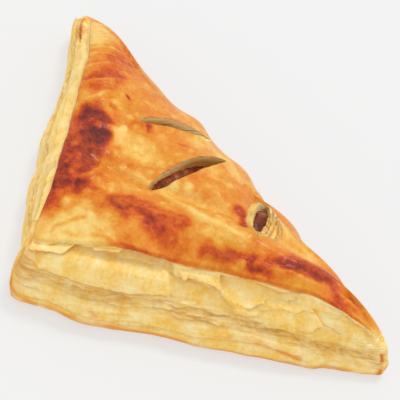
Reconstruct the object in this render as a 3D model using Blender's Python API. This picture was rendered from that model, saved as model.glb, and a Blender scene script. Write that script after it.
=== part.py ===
"""A baked turnover: a square of puff pastry folded corner to corner over a fruit filling.

It lies flat on its baked base. The folded side runs along X at the back, the two cut sides meet
at a square corner at the front, and three vents in the lid show the filling.
"""
import math

import bmesh
import bpy
import numpy as np
from mathutils import Vector

MM = 0.001

# The plan, as a triangle with sharp tips, before they are rounded
FOLD_LENGTH = 182 * MM
DEPTH = 86 * MM
CORNER_SHIFT = -2.6 * MM  # the square corner lies a little left of the middle
TIP_ROUNDING = 22  # power of the norm that rounds the corners: higher is sharper
RIGHT_BOW = 4.5 * MM  # how far the right cut side's foot bows out
FOLD_BOW = 0.8 * MM
# Lumps along a side, as (share of the way along, how far out, half width as a share)
FOLD_LUMPS = (
    (0.06, 0.4 * MM, 0.05),
    (0.19, 2.3 * MM, 0.04),
    (0.32, 1.8 * MM, 0.03),
    (0.39, -0.6 * MM, 0.02),
    (0.60, 2.1 * MM, 0.035),
    (0.69, -1.2 * MM, 0.045),
    (0.77, -1.0 * MM, 0.05),
    (0.86, 1.2 * MM, 0.07),
)
LEFT_LUMPS = (
    (0.03, 0.9 * MM, 0.05),
    (0.24, -1.5 * MM, 0.12),
    (0.52, 0.6 * MM, 0.08),
    (0.68, 1.3 * MM, 0.06),
    (0.86, -0.5 * MM, 0.06),
    (1.00, 1.2 * MM, 0.04),
)
RIGHT_LUMPS = (
    (0.22, 0.8 * MM, 0.07),
    (0.57, -0.7 * MM, 0.12),
    (0.88, 0.5 * MM, 0.10),
)

# Heights of the lid above the table
TIP_HEIGHT = 11.5 * MM
BODY_RISE = 19.5 * MM
RISE_LENGTH = 18 * MM  # how far from a tip the body reaches its height
CORNER_DROP = 6 * MM
CORNER_DROP_LENGTH = 20 * MM
EDGE_RADIUS = 1.4 * MM  # rounding where the lid turns down into a cut side

# Forms of the lid
ROLL_HEIGHT = 3.2 * MM  # the puffed border along both cut sides
ROLL_INSET = 16 * MM
ROLL_WIDTH = 9 * MM
CREASE_DEPTH = 2.6 * MM
CREASE_WIDTH = 3.4 * MM
DOME_HEIGHT = 3.5 * MM
DOME_CENTRE = (9 * MM, 19 * MM)
DOME_RADII = (36 * MM, 15 * MM)
FOLD_ROLL = 25 * MM  # plan depth over which the lid rolls over into the folded side
FOLD_BELLY = 0.36  # share of the height at which the folded side reaches furthest out

# Cut sides: the lid's edge stands in from the straight foot, more in the middle of a side
RIM_SHARES = (0.0, 0.2, 0.4, 0.6, 0.85, 1.0)
RIGHT_RIM_MM = (5.0, 5.6, 7.0, 6.2, 4.8, 3.2)
LEFT_RIM_MM = (4.5, 7.0, 9.0, 8.2, 6.2, 5.0)
# Going up a cut side: how much of that it has moved in by, and notches under the lid and
# between the two sheets of dough
WALL_SHARES = (0.0, 0.05, 0.14, 0.30, 0.40, 0.46, 0.52, 0.62, 0.78, 0.88, 0.94, 1.0)
WALL_LEANS = (0.0, 0.0, 0.0, 0.04, 0.14, 0.30, 0.36, 0.42, 0.64, 0.86, 0.92, 1.0)
WALL_NOTCHES_MM = (1.4, 0.3, 0.0, 0.0, 0.2, 1.5, 0.4, 0.0, 0.1, 0.9, 0.3, 0.0)
LEAF_COUNT = 7  # leaves of dough that show as ridges up each cut side
LEAF_DEPTH = 0.8 * MM
LEAF_WANDER = 0.02  # how far a leaf rises and falls along a side, as a share of the height
SIDE_WANDER = 0.7 * MM  # unevenness of the cut sides

# The filling, a low mound that runs inside the pastry, and the vents that show it
FILLING_INSETS = (19 * MM, 9 * MM, 19 * MM)  # in from the right cut side, the fold and the left
FILLING_ROUNDING = 5
FILLING_POWER = 2.6  # above 2 the mound is fuller than an ellipsoid
FILLING_RIM = 13 * MM  # height of its edge
LID_THICKNESS = 5 * MM
BASE_THICKNESS = 6 * MM
CLEARANCE = 0.3 * MM
FILLING_TURNS = 40
FILLING_RINGS = 6
VENT_DEPTH = 11 * MM
VENT_TAPER = 0.55  # width of a vent at its floor, as a share of its width at the lid
VENT_POINT = 1.4  # above 1 a vent's ends are more pointed than an ellipse's
# Each vent: middle in plan, direction of its length in degrees from X, length and width
VENTS = (
    ((-13.0 * MM, 28.5 * MM), 58, 25 * MM, 3.4 * MM),
    ((6.0 * MM, 19.5 * MM), 87, 31 * MM, 5.0 * MM),
    ((32.5 * MM, 28.0 * MM), -50, 19 * MM, 7.5 * MM),
)

SIDE_POINTS = 48  # mesh points along each side of the triangle
WALL_ROWS = 20

PASTRY_COLOUR = (0.80, 0.47, 0.13, 1.0)
FILLING_COLOUR = (0.13, 0.03, 0.02, 1.0)


def clear_scene():
    """Starts from an empty scene."""
    for thing in list(bpy.data.objects):
        bpy.data.objects.remove(thing)


def material(name, colour, roughness):
    """A plain Principled material."""
    made = bpy.data.materials.new(name)
    made.use_nodes = True
    shader = made.node_tree.nodes["Principled BSDF"]
    shader.inputs["Base Color"].default_value = colour
    shader.inputs["Roughness"].default_value = roughness
    shader.inputs["Metallic"].default_value = 0.0
    return made


class Plan:
    """The triangle seen from above, and distances in it. Sides: 0 right cut, 1 fold, 2 left cut."""

    def __init__(self):
        back = DEPTH / 2
        self.corner = np.array([CORNER_SHIFT, back - DEPTH])
        self.right_tip = np.array([FOLD_LENGTH / 2, back])
        self.left_tip = np.array([-FOLD_LENGTH / 2, back])
        self.ends = (
            (self.corner, self.right_tip),
            (self.right_tip, self.left_tip),
            (self.left_tip, self.corner),
        )
        lengths = np.array([np.linalg.norm(end - start) for start, end in self.ends])
        opposite = np.array([self.left_tip, self.corner, self.right_tip])
        self.middle = (opposite * lengths[:, None]).sum(0) / lengths.sum()
        along = np.array([(end - start) / size for (start, end), size in zip(self.ends, lengths)])
        self.lengths = lengths
        self.along = along
        self.outward = np.stack([along[:, 1], -along[:, 0]], 1)
        starts = np.array([start for start, _ in self.ends])
        self.starts = starts
        self.inradius = ((starts - self.middle) * self.outward).sum(1)[0]

    def depth_inside(self, points, side):
        """Distance in from one side, positive inside."""
        return ((self.starts[side] - points) * self.outward[side]).sum(-1)

    def share_along(self, points, side):
        """Position along one side, from 0 at its start to 1 at its end."""
        share = ((points - self.starts[side]) * self.along[side]).sum(-1) / self.lengths[side]
        return np.clip(share, 0, 1)

    def radius(self, facing, insets, rounding=TIP_ROUNDING):
        """Distance from the middle to the rounded outline whose sides stand in by these insets."""
        total = 0
        for side in range(3):
            towards = np.clip((facing * self.outward[side]).sum(-1), 0, None)
            total = total + (towards / (self.inradius - insets[side])) ** rounding
        return total ** (-1 / rounding)


PLAN = Plan()


def lattice_noise(points, size, seed):
    """Smooth random values from -1 to 1 at 3-D points, with bumps of about this size."""
    cells = 32
    lattice = np.random.default_rng(seed).uniform(-1, 1, (cells, cells, cells))
    place = np.asarray(points) / size + 100.0
    low = np.floor(place).astype(int)
    part = place - low
    part = part * part * (3 - 2 * part)
    value = 0
    for corner in np.ndindex(2, 2, 2):
        weight = np.prod([part[..., k] if corner[k] else 1 - part[..., k] for k in range(3)], 0)
        index = (low + corner) % cells
        value = value + weight * lattice[index[..., 0], index[..., 1], index[..., 2]]
    return value


def flat_noise(points, size, seed):
    """The same for 2-D points."""
    lifted = np.concatenate([points, np.zeros(points.shape[:-1] + (1,))], -1)
    return lattice_noise(lifted, size, seed)


def bell(distance, width):
    """A smooth hump of height 1."""
    return np.exp(-((distance / width) ** 2))


def cut_depth(points):
    """Distance in from the nearer cut side, with the turn at the square corner smoothed."""
    right, left = PLAN.depth_inside(points, 0), PLAN.depth_inside(points, 2)
    soft = 9 * MM
    return -soft * np.log(np.exp(-right / soft) + np.exp(-left / soft))


def crease_depth(points):
    """Signed distance from the crease where the filled middle meets the right-hand border."""
    run = PLAN.share_along(points, 0)
    line = 17 * MM + 22 * MM * (1 - run) ** 1.6
    return PLAN.depth_inside(points, 0) - line


def body_height(points):
    """Height of the lid before it rolls over into the folded side."""
    from_right = np.linalg.norm(points - PLAN.right_tip, axis=-1)
    from_left = np.linalg.norm(points - PLAN.left_tip, axis=-1)
    from_corner = np.linalg.norm(points - PLAN.corner, axis=-1)
    rise = (1 - np.exp(-from_right / RISE_LENGTH)) * (1 - np.exp(-from_left / RISE_LENGTH))
    height = TIP_HEIGHT + BODY_RISE * rise
    height = height - CORNER_DROP * bell(from_corner, CORNER_DROP_LENGTH)
    height = height + ROLL_HEIGHT * rise * bell(cut_depth(points) - ROLL_INSET, ROLL_WIDTH)
    across = (points - np.array(DOME_CENTRE)) / np.array(DOME_RADII)
    height = height + DOME_HEIGHT * np.exp(-(across**2).sum(-1))
    crease = crease_depth(points)
    inner = np.clip((PLAN.depth_inside(points, 2) - 14 * MM) / (14 * MM), 0, 1)
    height = height - CREASE_DEPTH * inner * bell(crease - CREASE_WIDTH / 2, CREASE_WIDTH)
    return height + 0.9 * MM * flat_noise(points, 17 * MM, 3) * rise


def lumps(share, table):
    """How far a side stands out because of its lumps."""
    return sum(size * bell(share - place, width) for place, size, width in table)


def fold_bulge(share):
    """How far the folded side bows out, with the lumps that the filling pushes out."""
    return FOLD_BOW * (1 - (2 * share - 1) ** 2) + lumps(share, FOLD_LUMPS)


def fold_roll(share):
    """Plan depth of the roll along the folded side: it shrinks towards the tips."""
    return FOLD_ROLL * (0.22 + 0.78 * (1 - (2 * share - 1) ** 4))


def lid_height(points):
    """Height of the lid above the table at these plan points."""
    share = PLAN.share_along(points, 1)
    depth = PLAN.depth_inside(points, 1) + fold_bulge(share)
    near = 1 - np.clip(depth / fold_roll(share), 0, 1)
    body = body_height(points)
    belly = FOLD_BELLY * body
    return belly + (body - belly) * np.sqrt(1 - near**2)


def base_insets(facing, share):
    """How far the widest outline stands in from the sharp triangle, side by side."""
    wander = SIDE_WANDER * flat_noise(PLAN.middle + facing * PLAN.inradius, 9 * MM, 11)
    bow = RIGHT_BOW * np.sin(math.pi * share[0] ** 0.62) + lumps(share[0], RIGHT_LUMPS)
    return [wander - bow, -fold_bulge(share[1]), wander - lumps(share[2], LEFT_LUMPS)]


def rim_insets(facing, share):
    """The same for the lid's edge."""
    base = base_insets(facing, share)
    right = np.interp(share[0], RIM_SHARES, RIGHT_RIM_MM) * MM
    left = np.interp(share[2], RIM_SHARES, LEFT_RIM_MM) * MM
    return [right, base[1] + 0.31 * fold_roll(share[1]), left]


def leaf_relief(points, share_up):
    """Ridges of the dough's leaves on a cut side, as an inset."""
    wander = LEAF_WANDER * lattice_noise(points, 14 * MM, 5)
    phase = (share_up + wander) * LEAF_COUNT
    ridge = 0.5 + 0.5 * np.cos(2 * math.pi * phase)
    strength = 0.65 + 0.6 * lattice_noise(points, 8 * MM, 7)
    ends = np.clip(np.minimum(share_up, 1 - share_up) / 0.1, 0, 1)
    return LEAF_DEPTH * ridge * strength * ends


def wall_point(facing, share, share_up, rim_height, body):
    """A ring of points round the sides, share_up of the way from the base to the lid's edge."""
    height = share_up * rim_height
    base = base_insets(facing, share)
    rim = rim_insets(facing, share)
    belly = FOLD_BELLY * body
    over = np.clip((height - belly) / (body - belly), 0, 1)
    under = np.clip((belly - height) / belly, 0, 1)
    roll = fold_roll(share[1])
    fold_inset = roll * (1 - np.sqrt(1 - over**2)) + 0.22 * roll * (1 - np.sqrt(1 - under**2))
    lean = np.interp(share_up, WALL_SHARES, WALL_LEANS)
    notch = np.interp(share_up, WALL_SHARES, WALL_NOTCHES_MM) * MM
    place = PLAN.middle + facing * PLAN.radius(facing, base)[:, None]
    relief = leaf_relief(np.column_stack([place, height]), np.full(len(height), share_up))
    insets = [base[side] + (rim[side] - base[side]) * lean + notch + relief for side in (0, 2)]
    reach = PLAN.radius(facing, [insets[0], base[1] + fold_inset, insets[1]])
    return np.column_stack([PLAN.middle + facing * reach[:, None], height])


def grid_weights(count):
    """Triangle grid: shares of (corner, right tip, left tip) for each point, and its index."""
    rows = [(i, j) for i in range(count + 1) for j in range(count + 1 - i)]
    index = {cell: number for number, cell in enumerate(rows)}
    shares = np.array([(count - i - j, i, j) for i, j in rows]) / count
    return shares, index


def border_cells(count):
    """Grid cells round the border, anticlockwise from the square corner."""
    right = [(k, 0) for k in range(count)]
    fold = [(count - k, k) for k in range(count)]
    left = [(0, count - k) for k in range(count)]
    return right + fold + left


def pastry_points(count, rows):
    """Points and faces of the closed outside of the pastry."""
    shares, index = grid_weights(count)
    corners = np.array([PLAN.corner, PLAN.right_tip, PLAN.left_tip])
    straight = shares @ corners
    arms = straight - PLAN.middle
    distance = np.linalg.norm(arms, axis=1)
    facing = arms / np.maximum(distance, 1e-9)[:, None]
    sharp = 1 / np.max(facing @ PLAN.outward.T / PLAN.inradius, axis=1)
    outness = distance / sharp
    on_border = PLAN.middle + facing * sharp[:, None]
    along = [PLAN.share_along(on_border, side) for side in range(3)]
    rim_radius = PLAN.radius(facing, rim_insets(facing, along))
    stretch = 1 + (rim_radius / sharp - 1) * outness**2
    plan = PLAN.middle + arms * stretch[:, None]

    border = [index[cell] for cell in border_cells(count)]
    height = lid_height(plan)
    fold_share = outer_share(facing)
    to_rim = (1 - outness) * rim_radius * np.max(facing @ PLAN.outward.T, axis=1)
    curl = np.clip(1 - to_rim / EDGE_RADIUS, 0, 1)
    drop = EDGE_RADIUS * (1 - np.sqrt(1 - curl**2)) * (1 - fold_share)
    height = height - drop
    points = [np.column_stack([plan, height])]

    faces = []
    for i in range(count):
        for j in range(count - i):
            a, b, c = index[i, j], index[i + 1, j], index[i, j + 1]
            faces.append((a, b, c))
            if i + j < count - 1:
                faces.append((b, index[i + 1, j + 1], c))

    ring_facing = facing[border]
    ring_along = [share[border] for share in along]
    rim_height = height[border]
    body = body_height(plan[border])
    upper = border
    start = len(plan)
    for row in range(rows - 1, -1, -1):
        ring = wall_point(ring_facing, ring_along, row / rows, rim_height, body)
        points.append(ring)
        lower = list(range(start, start + len(border)))
        for k in range(len(border)):
            after = (k + 1) % len(border)
            faces.append((upper[after], upper[k], lower[k], lower[after]))
        upper = lower
        start += len(border)
    faces.append(tuple(reversed(upper)))
    return np.concatenate(points), faces


def outer_share(facing):
    """How much of the outline in this direction belongs to the folded side, from 0 to 1."""
    towards = np.clip(facing @ PLAN.outward.T, 0, None) ** TIP_ROUNDING
    return towards[:, 1] / towards.sum(1)


def mesh_object(name, points, faces, colour):
    """An object from points and faces, shaded smooth, with its faces turned outwards."""
    mesh = bpy.data.meshes.new(name)
    mesh.from_pydata([tuple(point) for point in points], [], faces)
    shape = bmesh.new()
    shape.from_mesh(mesh)
    bmesh.ops.triangulate(shape, faces=[face for face in shape.faces if len(face.verts) > 4])
    bmesh.ops.recalc_face_normals(shape, faces=shape.faces)
    shape.to_mesh(mesh)
    shape.free()
    mesh.shade_smooth()
    mesh.materials.append(colour)
    made = bpy.data.objects.new(name, mesh)
    bpy.context.scene.collection.objects.link(made)
    return made


def filling_object(name, clearance, colour):
    """The filling, or with a clearance the hollow that it lies in, between lid and base."""
    turns = np.linspace(0, 2 * math.pi, FILLING_TURNS, endpoint=False)
    facing = np.column_stack([np.cos(turns), np.sin(turns)])
    insets = [inset - clearance for inset in FILLING_INSETS]
    reach = PLAN.radius(facing, insets, FILLING_ROUNDING)

    def ring(step, upper):
        """A ring on the upper or lower skin, from 0 at the middle to FILLING_RINGS at the edge."""
        out = math.sin(math.pi / 2 * step / FILLING_RINGS)
        place = PLAN.middle + facing * reach[:, None] * out
        swell = (1 - out**FILLING_POWER) ** (1 / FILLING_POWER)
        cover = lid_height(place) - LID_THICKNESS + clearance
        floor = BASE_THICKNESS - clearance
        skin = cover if upper else np.full(FILLING_TURNS, floor)
        return np.column_stack([place, FILLING_RIM + (skin - FILLING_RIM) * swell])

    points = [ring(0, True)[:1]]
    points += [ring(step, True) for step in range(1, FILLING_RINGS + 1)]
    points += [ring(step, False) for step in range(FILLING_RINGS - 1, 0, -1)]
    points += [ring(0, False)[:1]]
    points = np.concatenate(points)
    last = len(points) - 1
    faces = []
    for k in range(FILLING_TURNS):
        after = (k + 1) % FILLING_TURNS
        faces.append((0, 1 + k, 1 + after))
        for level in range(2 * FILLING_RINGS - 2):
            inner, outer = 1 + level * FILLING_TURNS, 1 + (level + 1) * FILLING_TURNS
            faces.append((inner + k, outer + k, outer + after, inner + after))
        faces.append((last, last - FILLING_TURNS + after, last - FILLING_TURNS + k))
    return mesh_object(name, points, faces, colour)


def vent_cutter(number, middle, turn, length, width, colour):
    """A tapered lens that opens one vent from above the lid down to the filling."""
    half, steps = length / 2, 12
    top = 8 * MM
    floor = lid_height(np.array([middle]))[0] - VENT_DEPTH
    levels = ((floor, VENT_TAPER), (floor + VENT_DEPTH * 0.6, 0.9), (floor + VENT_DEPTH + top, 1.2))
    direction = np.array([math.cos(math.radians(turn)), math.sin(math.radians(turn))])
    side = np.array([-direction[1], direction[0]])
    turns = [math.pi * k / steps for k in range(2 * steps)]
    points = []
    for height, spread in levels:
        for angle in turns:
            swing = math.sin(angle)
            run = half * math.cos(angle) * (0.8 + 0.2 * spread)
            across = width / 2 * spread * swing * abs(swing) ** (VENT_POINT - 1)
            place = np.array(middle) + direction * run + side * across
            points.append((place[0], place[1], height))
    count = len(turns)
    faces = [tuple(reversed(range(count))), tuple(range(2 * count, 3 * count))]
    for level in range(2):
        for k in range(count):
            after = (k + 1) % count
            low, high = level * count, (level + 1) * count
            faces.append((low + k, low + after, high + after, high + k))
    return hidden(mesh_object(f"vent_cutter_{number}", points, faces, colour))


def hidden(helper):
    """Marks an object as a helper that isn't part of the model."""
    helper.hide_render = True
    helper.display_type = "WIRE"
    return helper


def cut(target, cutter):
    """Takes the cutter's shape out of the target."""
    step = target.modifiers.new(cutter.name, "BOOLEAN")
    step.operation = "DIFFERENCE"
    step.solver = "EXACT"
    step.object = cutter


def centre_on_plan(objects):
    """Moves the meshes so that the pastry's box is centred over the origin and stands on z = 0."""
    points = np.array([vert.co for vert in objects[0].data.vertices])
    low, high = points.min(0), points.max(0)
    move = Vector((-(low[0] + high[0]) / 2, -(low[1] + high[1]) / 2, -low[2]))
    for thing in objects:
        thing.location += move


def main():
    clear_scene()
    crust = material("crust", PASTRY_COLOUR, 0.45)
    fruit = material("fruit", FILLING_COLOUR, 0.3)
    points, faces = pastry_points(SIDE_POINTS, WALL_ROWS)
    pastry = mesh_object("pastry", points, faces, crust)
    filling = filling_object("filling", 0.0, fruit)
    hollow = hidden(filling_object("filling_hollow", CLEARANCE, fruit))
    cutters = [vent_cutter(number, *vent, fruit) for number, vent in enumerate(VENTS)]
    centre_on_plan([pastry, filling, hollow, *cutters])
    for cutter in [hollow, *cutters]:
        cut(pastry, cutter)


main()
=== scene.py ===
import functools
import math
from collections import namedtuple

import bmesh
import bpy
import numpy as np
from mathutils import Matrix, Vector
from mathutils.kdtree import KDTree


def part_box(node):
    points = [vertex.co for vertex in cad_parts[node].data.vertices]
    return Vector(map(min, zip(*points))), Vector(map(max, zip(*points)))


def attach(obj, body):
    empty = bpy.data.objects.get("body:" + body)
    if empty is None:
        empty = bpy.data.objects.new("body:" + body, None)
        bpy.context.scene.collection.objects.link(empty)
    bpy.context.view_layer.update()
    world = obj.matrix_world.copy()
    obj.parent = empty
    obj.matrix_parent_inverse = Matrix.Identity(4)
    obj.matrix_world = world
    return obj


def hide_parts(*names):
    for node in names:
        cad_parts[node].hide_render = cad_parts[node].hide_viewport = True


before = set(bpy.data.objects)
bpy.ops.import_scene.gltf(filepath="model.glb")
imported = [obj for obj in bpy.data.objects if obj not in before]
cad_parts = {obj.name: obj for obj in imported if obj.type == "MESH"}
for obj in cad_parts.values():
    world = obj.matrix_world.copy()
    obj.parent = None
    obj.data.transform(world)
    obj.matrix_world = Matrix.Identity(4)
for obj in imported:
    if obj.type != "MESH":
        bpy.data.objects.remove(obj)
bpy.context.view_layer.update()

# Lengths are in millimetres up to mesh_object, which makes the meshes in metres
MM = 0.001

# Sides of the plan, anticlockwise from the square corner: the right cut side, the fold and the left one
RIGHT, FOLD, LEFT = range(3)
CUT_SIDES = (RIGHT, LEFT)

# The plan, as a triangle with sharp tips, with the same driving sizes as the solids
FOLD_LENGTH = 182
DEPTH = 86
CORNER_SHIFT = -2.6
TIP_ROUNDING = 22
RIGHT_BOW = 4.5
RIGHT_BOW_SKEW = 0.62  # under 1, the bow is widest nearer to the square corner
FOLD_BOW = 0.8
# Lumps along a side, as (share of the way along, how far out, half width as a share)
FOLD_LUMPS = (
    (0.07, 1.0, 0.05),
    (0.19, 1.7, 0.04),
    (0.32, 1.6, 0.03),
    (0.37, -2.4, 0.015),
    (0.46, 1.8, 0.03),
    (0.60, 2.1, 0.035),
    (0.69, -1.2, 0.045),
    (0.77, -1.0, 0.05),
    (0.86, 1.2, 0.07),
)
LEFT_LUMPS = (
    (0.03, 0.2, 0.05),
    (0.24, -2.0, 0.12),
    (0.51, 0.6, 0.07),
    (0.61, -0.9, 0.03),
    (0.70, 1.2, 0.05),
    (0.89, -1.8, 0.06),
    (1.00, 0.4, 0.04),
)
RIGHT_LUMPS = (
    (0.05, 0.5, 0.05),
    (0.22, 1.9, 0.09),
    (0.45, 0.5, 0.12),
    (0.74, 1.4, 0.07),
    (0.90, 0.4, 0.08),
)

# Heights and forms of the lid. A noise is given as (strength, size of its bumps in mm, seed)
TIP_HEIGHT = 11.5
BODY_RISE = 19.5
RISE_LENGTH = 18
CORNER_DROP = 6
CORNER_DROP_LENGTH = 20
EDGE_RADIUS = 0.8
ROLL_HEIGHT = 3.2
ROLL_INSET = 16
ROLL_WIDTH = 9
CREASE_DEPTH = 2.6
CREASE_WIDTH = 3.4
DOME_HEIGHT = 3.5
DOME_CENTRE = (9, 19)
DOME_RADII = (36, 15)
FOLD_ROLL = 25
FOLD_BELLY = 0.36
CUT_SOFTNESS = 9
CREASE_INSETS = (17, 39)  # at the right tip and at the square corner
CREASE_CURVE = 1.6
CREASE_START = 14
FOLD_TIP_SHARE = 0.22  # how much of the roll along the fold is left at the tips
FOLD_UNDERCUT = 0.22  # how far the fold's foot stands in, as a share of its roll
FOLD_RIM = 0.31  # how far the lid's edge stands in there
LID_WANDER = ((0.9, 17, 3),)
LID_GRAIN = ((0.30, 6, 31), (0.14, 2.6, 32), (0.05, 1.2, 33))
LEAF_TEARS = ((0.25, 1.6, 200), (0.5, 6, 250))
PATCH_TEARS = ((0.3, 2.2, 0), (0.4, 7, 1))
FLAP_TEARS = ((0.26, 3.5, 0), (0.07, 1.3, 1))
FRUIT_LUMPS = ((0.4, 3.2, 101), (0.25, 1.3, 102))
BROWN_NOISES = ((0.07, 15, 71), (0.08, 5, 72), (0.05, 2.2, 73))

# Cut sides: how far the lid's edge stands in, and the lean and notches on the way up
RIM_SHARES = (0.0, 0.2, 0.4, 0.6, 0.85, 1.0)
RIGHT_RIM = (4.6, 4.1, 5.2, 5.6, 5.2, 3.4)
LEFT_RIM = (7.4, 10.6, 9.8, 9.6, 8.4, 5.6)
WALL_SHARES = (0.0, 0.05, 0.14, 0.30, 0.40, 0.46, 0.52, 0.62, 0.78, 0.88, 0.94, 1.0)
WALL_LEANS = (0.0, 0.0, 0.0, 0.04, 0.14, 0.30, 0.36, 0.42, 0.64, 0.86, 0.95, 1.0)
WALL_NOTCHES = (1.6, 0.3, 0.0, 0.0, 0.2, 1.3, 0.5, 0.0, 0.0, 0.2, 0.1, 0.0)
NOTCH_END = 0.05  # the share along over which the notches shrink, and the relief towards a tip
RELIEF_END = 0.04
END_SHARE = 0.2  # what is left of both at the very end
RELIEF_FADES = (0.02, 0.015)  # the share up over which the relief fades, at the foot and at the rim
SEAM_UP = 0.46
SIDE_WANDER = ((0.7, 9, 11),)

# The seam between the two sheets of dough, as (share along the side, share of the way up)
RIGHT_SEAM = (
    (0.0, 0.62), (0.098, 0.60), (0.13, 0.55), (0.16, 0.53), (0.208, 0.51), (0.246, 0.50), (0.29, 0.48),
    (0.355, 0.51), (0.40, 0.53), (0.457, 0.53), (0.51, 0.52), (0.56, 0.52), (0.615, 0.50), (0.695, 0.47),
    (0.754, 0.42), (0.79, 0.37), (0.86, 0.36), (1.0, 0.42),
)
LEFT_SEAM = ((0.0, 0.50), (0.10, 0.55), (0.35, 0.44), (0.70, 0.50), (1.0, 0.55))
SEAMS = {RIGHT: RIGHT_SEAM, LEFT: LEFT_SEAM}

# Patches of a cut side between a lower and an upper edge: each edge is (share along, share up)
# points, then how far in the patch lies, how smooth it is, how much shade lies on it, and how
# softly it ends
GAP_FLOOR = ((0.06, 0.90), (0.102, 0.88), (0.142, 0.88), (0.188, 0.87), (0.228, 0.84), (0.265, 0.82),
             (0.297, 0.81), (0.339, 0.80), (0.379, 0.82), (0.425, 0.83))
RIM_LINE = ((0.05, 0.985), (0.95, 0.985))
FACET_LOW = ((0.07, 0.70), (0.098, 0.66), (0.126, 0.62), (0.160, 0.60), (0.208, 0.58), (0.246, 0.56),
             (0.277, 0.54), (0.307, 0.54), (0.355, 0.60), (0.401, 0.64))
LEAF_BOTTOM = ((0.405, 0.87), (0.467, 0.87), (0.493, 0.86), (0.513, 0.83), (0.537, 0.84), (0.547, 0.79),
               (0.559, 0.71), (0.575, 0.66))
POCKET_LIP = ((0.555, 0.84), (0.563, 0.76), (0.575, 0.70), (0.603, 0.69), (0.633, 0.73), (0.665, 0.77),
              (0.699, 0.81), (0.741, 0.87), (0.776, 0.91), (0.80, 0.95))
POCKET_TOP = ((0.555, 0.94), (0.603, 0.96), (0.649, 0.975), (0.683, 0.97), (0.707, 0.95), (0.735, 0.94),
              (0.766, 0.97), (0.80, 0.96))
RIGHT_PATCHES = (
    (GAP_FLOOR, RIM_LINE, 1.5, 0.75, 0.20, 1.5),
    (FACET_LOW, GAP_FLOOR, -0.5, 1.0, 0.0, 0.4),
    (((0.405, 0.60), (0.483, 0.62), (0.523, 0.60), (0.575, 0.60)), LEAF_BOTTOM, 1.0, 0.9, 0.1, 0.5),
    (POCKET_LIP, POCKET_TOP, 1.0, 1.0, 0.0, 0.8),
    (((0.565, 0.58), (0.60, 0.58), (0.635, 0.63)), ((0.565, 0.65), (0.601, 0.66), (0.635, 0.68)),
     -0.6, 0.8, 0.0, 0.4),
    (((0.645, 0.50), (0.695, 0.49), (0.735, 0.47)), ((0.645, 0.69), (0.695, 0.76), (0.735, 0.78)),
     -0.3, 0.8, 0.0, 0.5),
    (((0.737, 0.52), (0.76, 0.54), (0.82, 0.64)),
     ((0.737, 0.54), (0.760, 0.64), (0.784, 0.75), (0.812, 0.84), (0.82, 0.66)),
     -0.7, 0.9, 0.0, 0.4),
    (((0.05, 0.24), (0.30, 0.17), (0.60, 0.30), (0.72, 0.24)),
     ((0.05, 0.42), (0.158, 0.38), (0.285, 0.36), (0.435, 0.42), (0.591, 0.42), (0.72, 0.35)),
     -0.4, 0.9, 0.0, 0.5),
)
LEFT_PATCHES = (
    (((0.12, 0.60), (0.40, 0.56), (0.62, 0.60)), ((0.12, 0.90), (0.40, 0.92), (0.62, 0.90)),
     -0.4, 0.9, 0.0, 0.5),
    (((0.70, 0.62), (0.92, 0.66)), ((0.70, 0.90), (0.92, 0.88)), 0.5, 0.7, 0.1, 0.5),
    (((0.02, 0.60), (0.14, 0.72)), ((0.02, 0.72), (0.14, 0.80)), 1.4, 0.4, 0.3, 0.5),
)
PATCHES = {RIGHT: RIGHT_PATCHES, LEFT: LEFT_PATCHES}
PATCH_END = 0.5  # how softly a patch ends at its sides and its upper edge

# Torn leaves along the right cut side: shares along, shares up, how far one stands out and how soon
# that fades above its edge
RIGHT_LEAVES = (
    ((0.26, 0.32, 0.40), (0.93, 0.91, 0.90), 0.4, 0.5),
    ((0.22, 0.30, 0.37), (0.89, 0.87, 0.87), 0.4, 0.5),
    (*zip(*FACET_LOW), 0.6, 1.2),
    ((0.130, 0.172, 0.234, 0.297, 0.359, 0.421, 0.485), (0.48, 0.45, 0.44, 0.42, 0.46, 0.48, 0.52),
     0.7, 0.8),
    ((0.12, 0.17, 0.22, 0.27, 0.33), (0.53, 0.50, 0.49, 0.47, 0.49), 0.4, 0.5),
    ((0.14, 0.154, 0.198, 0.232, 0.279, 0.32), (0.24, 0.28, 0.34, 0.32, 0.32, 0.33), 0.5, 1.4),
    ((0.236, 0.269, 0.303, 0.337, 0.40), (0.16, 0.21, 0.25, 0.26, 0.24), 0.5, 1.0),
    (*zip(*POCKET_LIP), 0.9, 0.8),
    ((0.633, 0.671, 0.711, 0.756, 0.806, 0.876), (0.67, 0.72, 0.76, 0.78, 0.80, 0.87), 0.5, 0.8),
    ((0.405, 0.457, 0.509, 0.561, 0.615), (0.52, 0.56, 0.56, 0.54, 0.51), 0.6, 0.7),
    ((0.409, 0.485, 0.537, 0.589, 0.643, 0.695, 0.754, 0.788, 0.856, 0.93),
     (0.45, 0.47, 0.47, 0.49, 0.475, 0.46, 0.42, 0.35, 0.34, 0.45), 0.7, 0.8),
    ((0.739, 0.762, 0.792, 0.822, 0.848, 0.880), (0.49, 0.54, 0.62, 0.67, 0.67, 0.58), 0.6, 0.9),
    ((0.904, 0.930, 0.956), (0.96, 0.94, 0.93), 0.5, 0.6),
    ((0.96, 0.985, 1.05), (0.93, 0.86, 0.68), 0.5, 0.6),
    ((0.80, 0.856, 0.92, 1.05), (0.22, 0.25, 0.26, 0.30), 0.5, 1.0),
    ((0.50, 0.557, 0.625, 0.655, 0.687, 0.715, 0.75), (0.33, 0.32, 0.32, 0.29, 0.22, 0.18, 0.15),
     0.5, 1.0),
    ((-0.1, 0.05, 0.09), (0.82, 0.76, 0.66), 0.6, 0.8),
    ((-0.1, 0.03, 0.10), (0.66, 0.63, 0.56), 0.5, 0.7),
    ((-0.1, 0.05, 0.14), (0.45, 0.42, 0.36), 0.5, 1.2),
)
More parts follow.
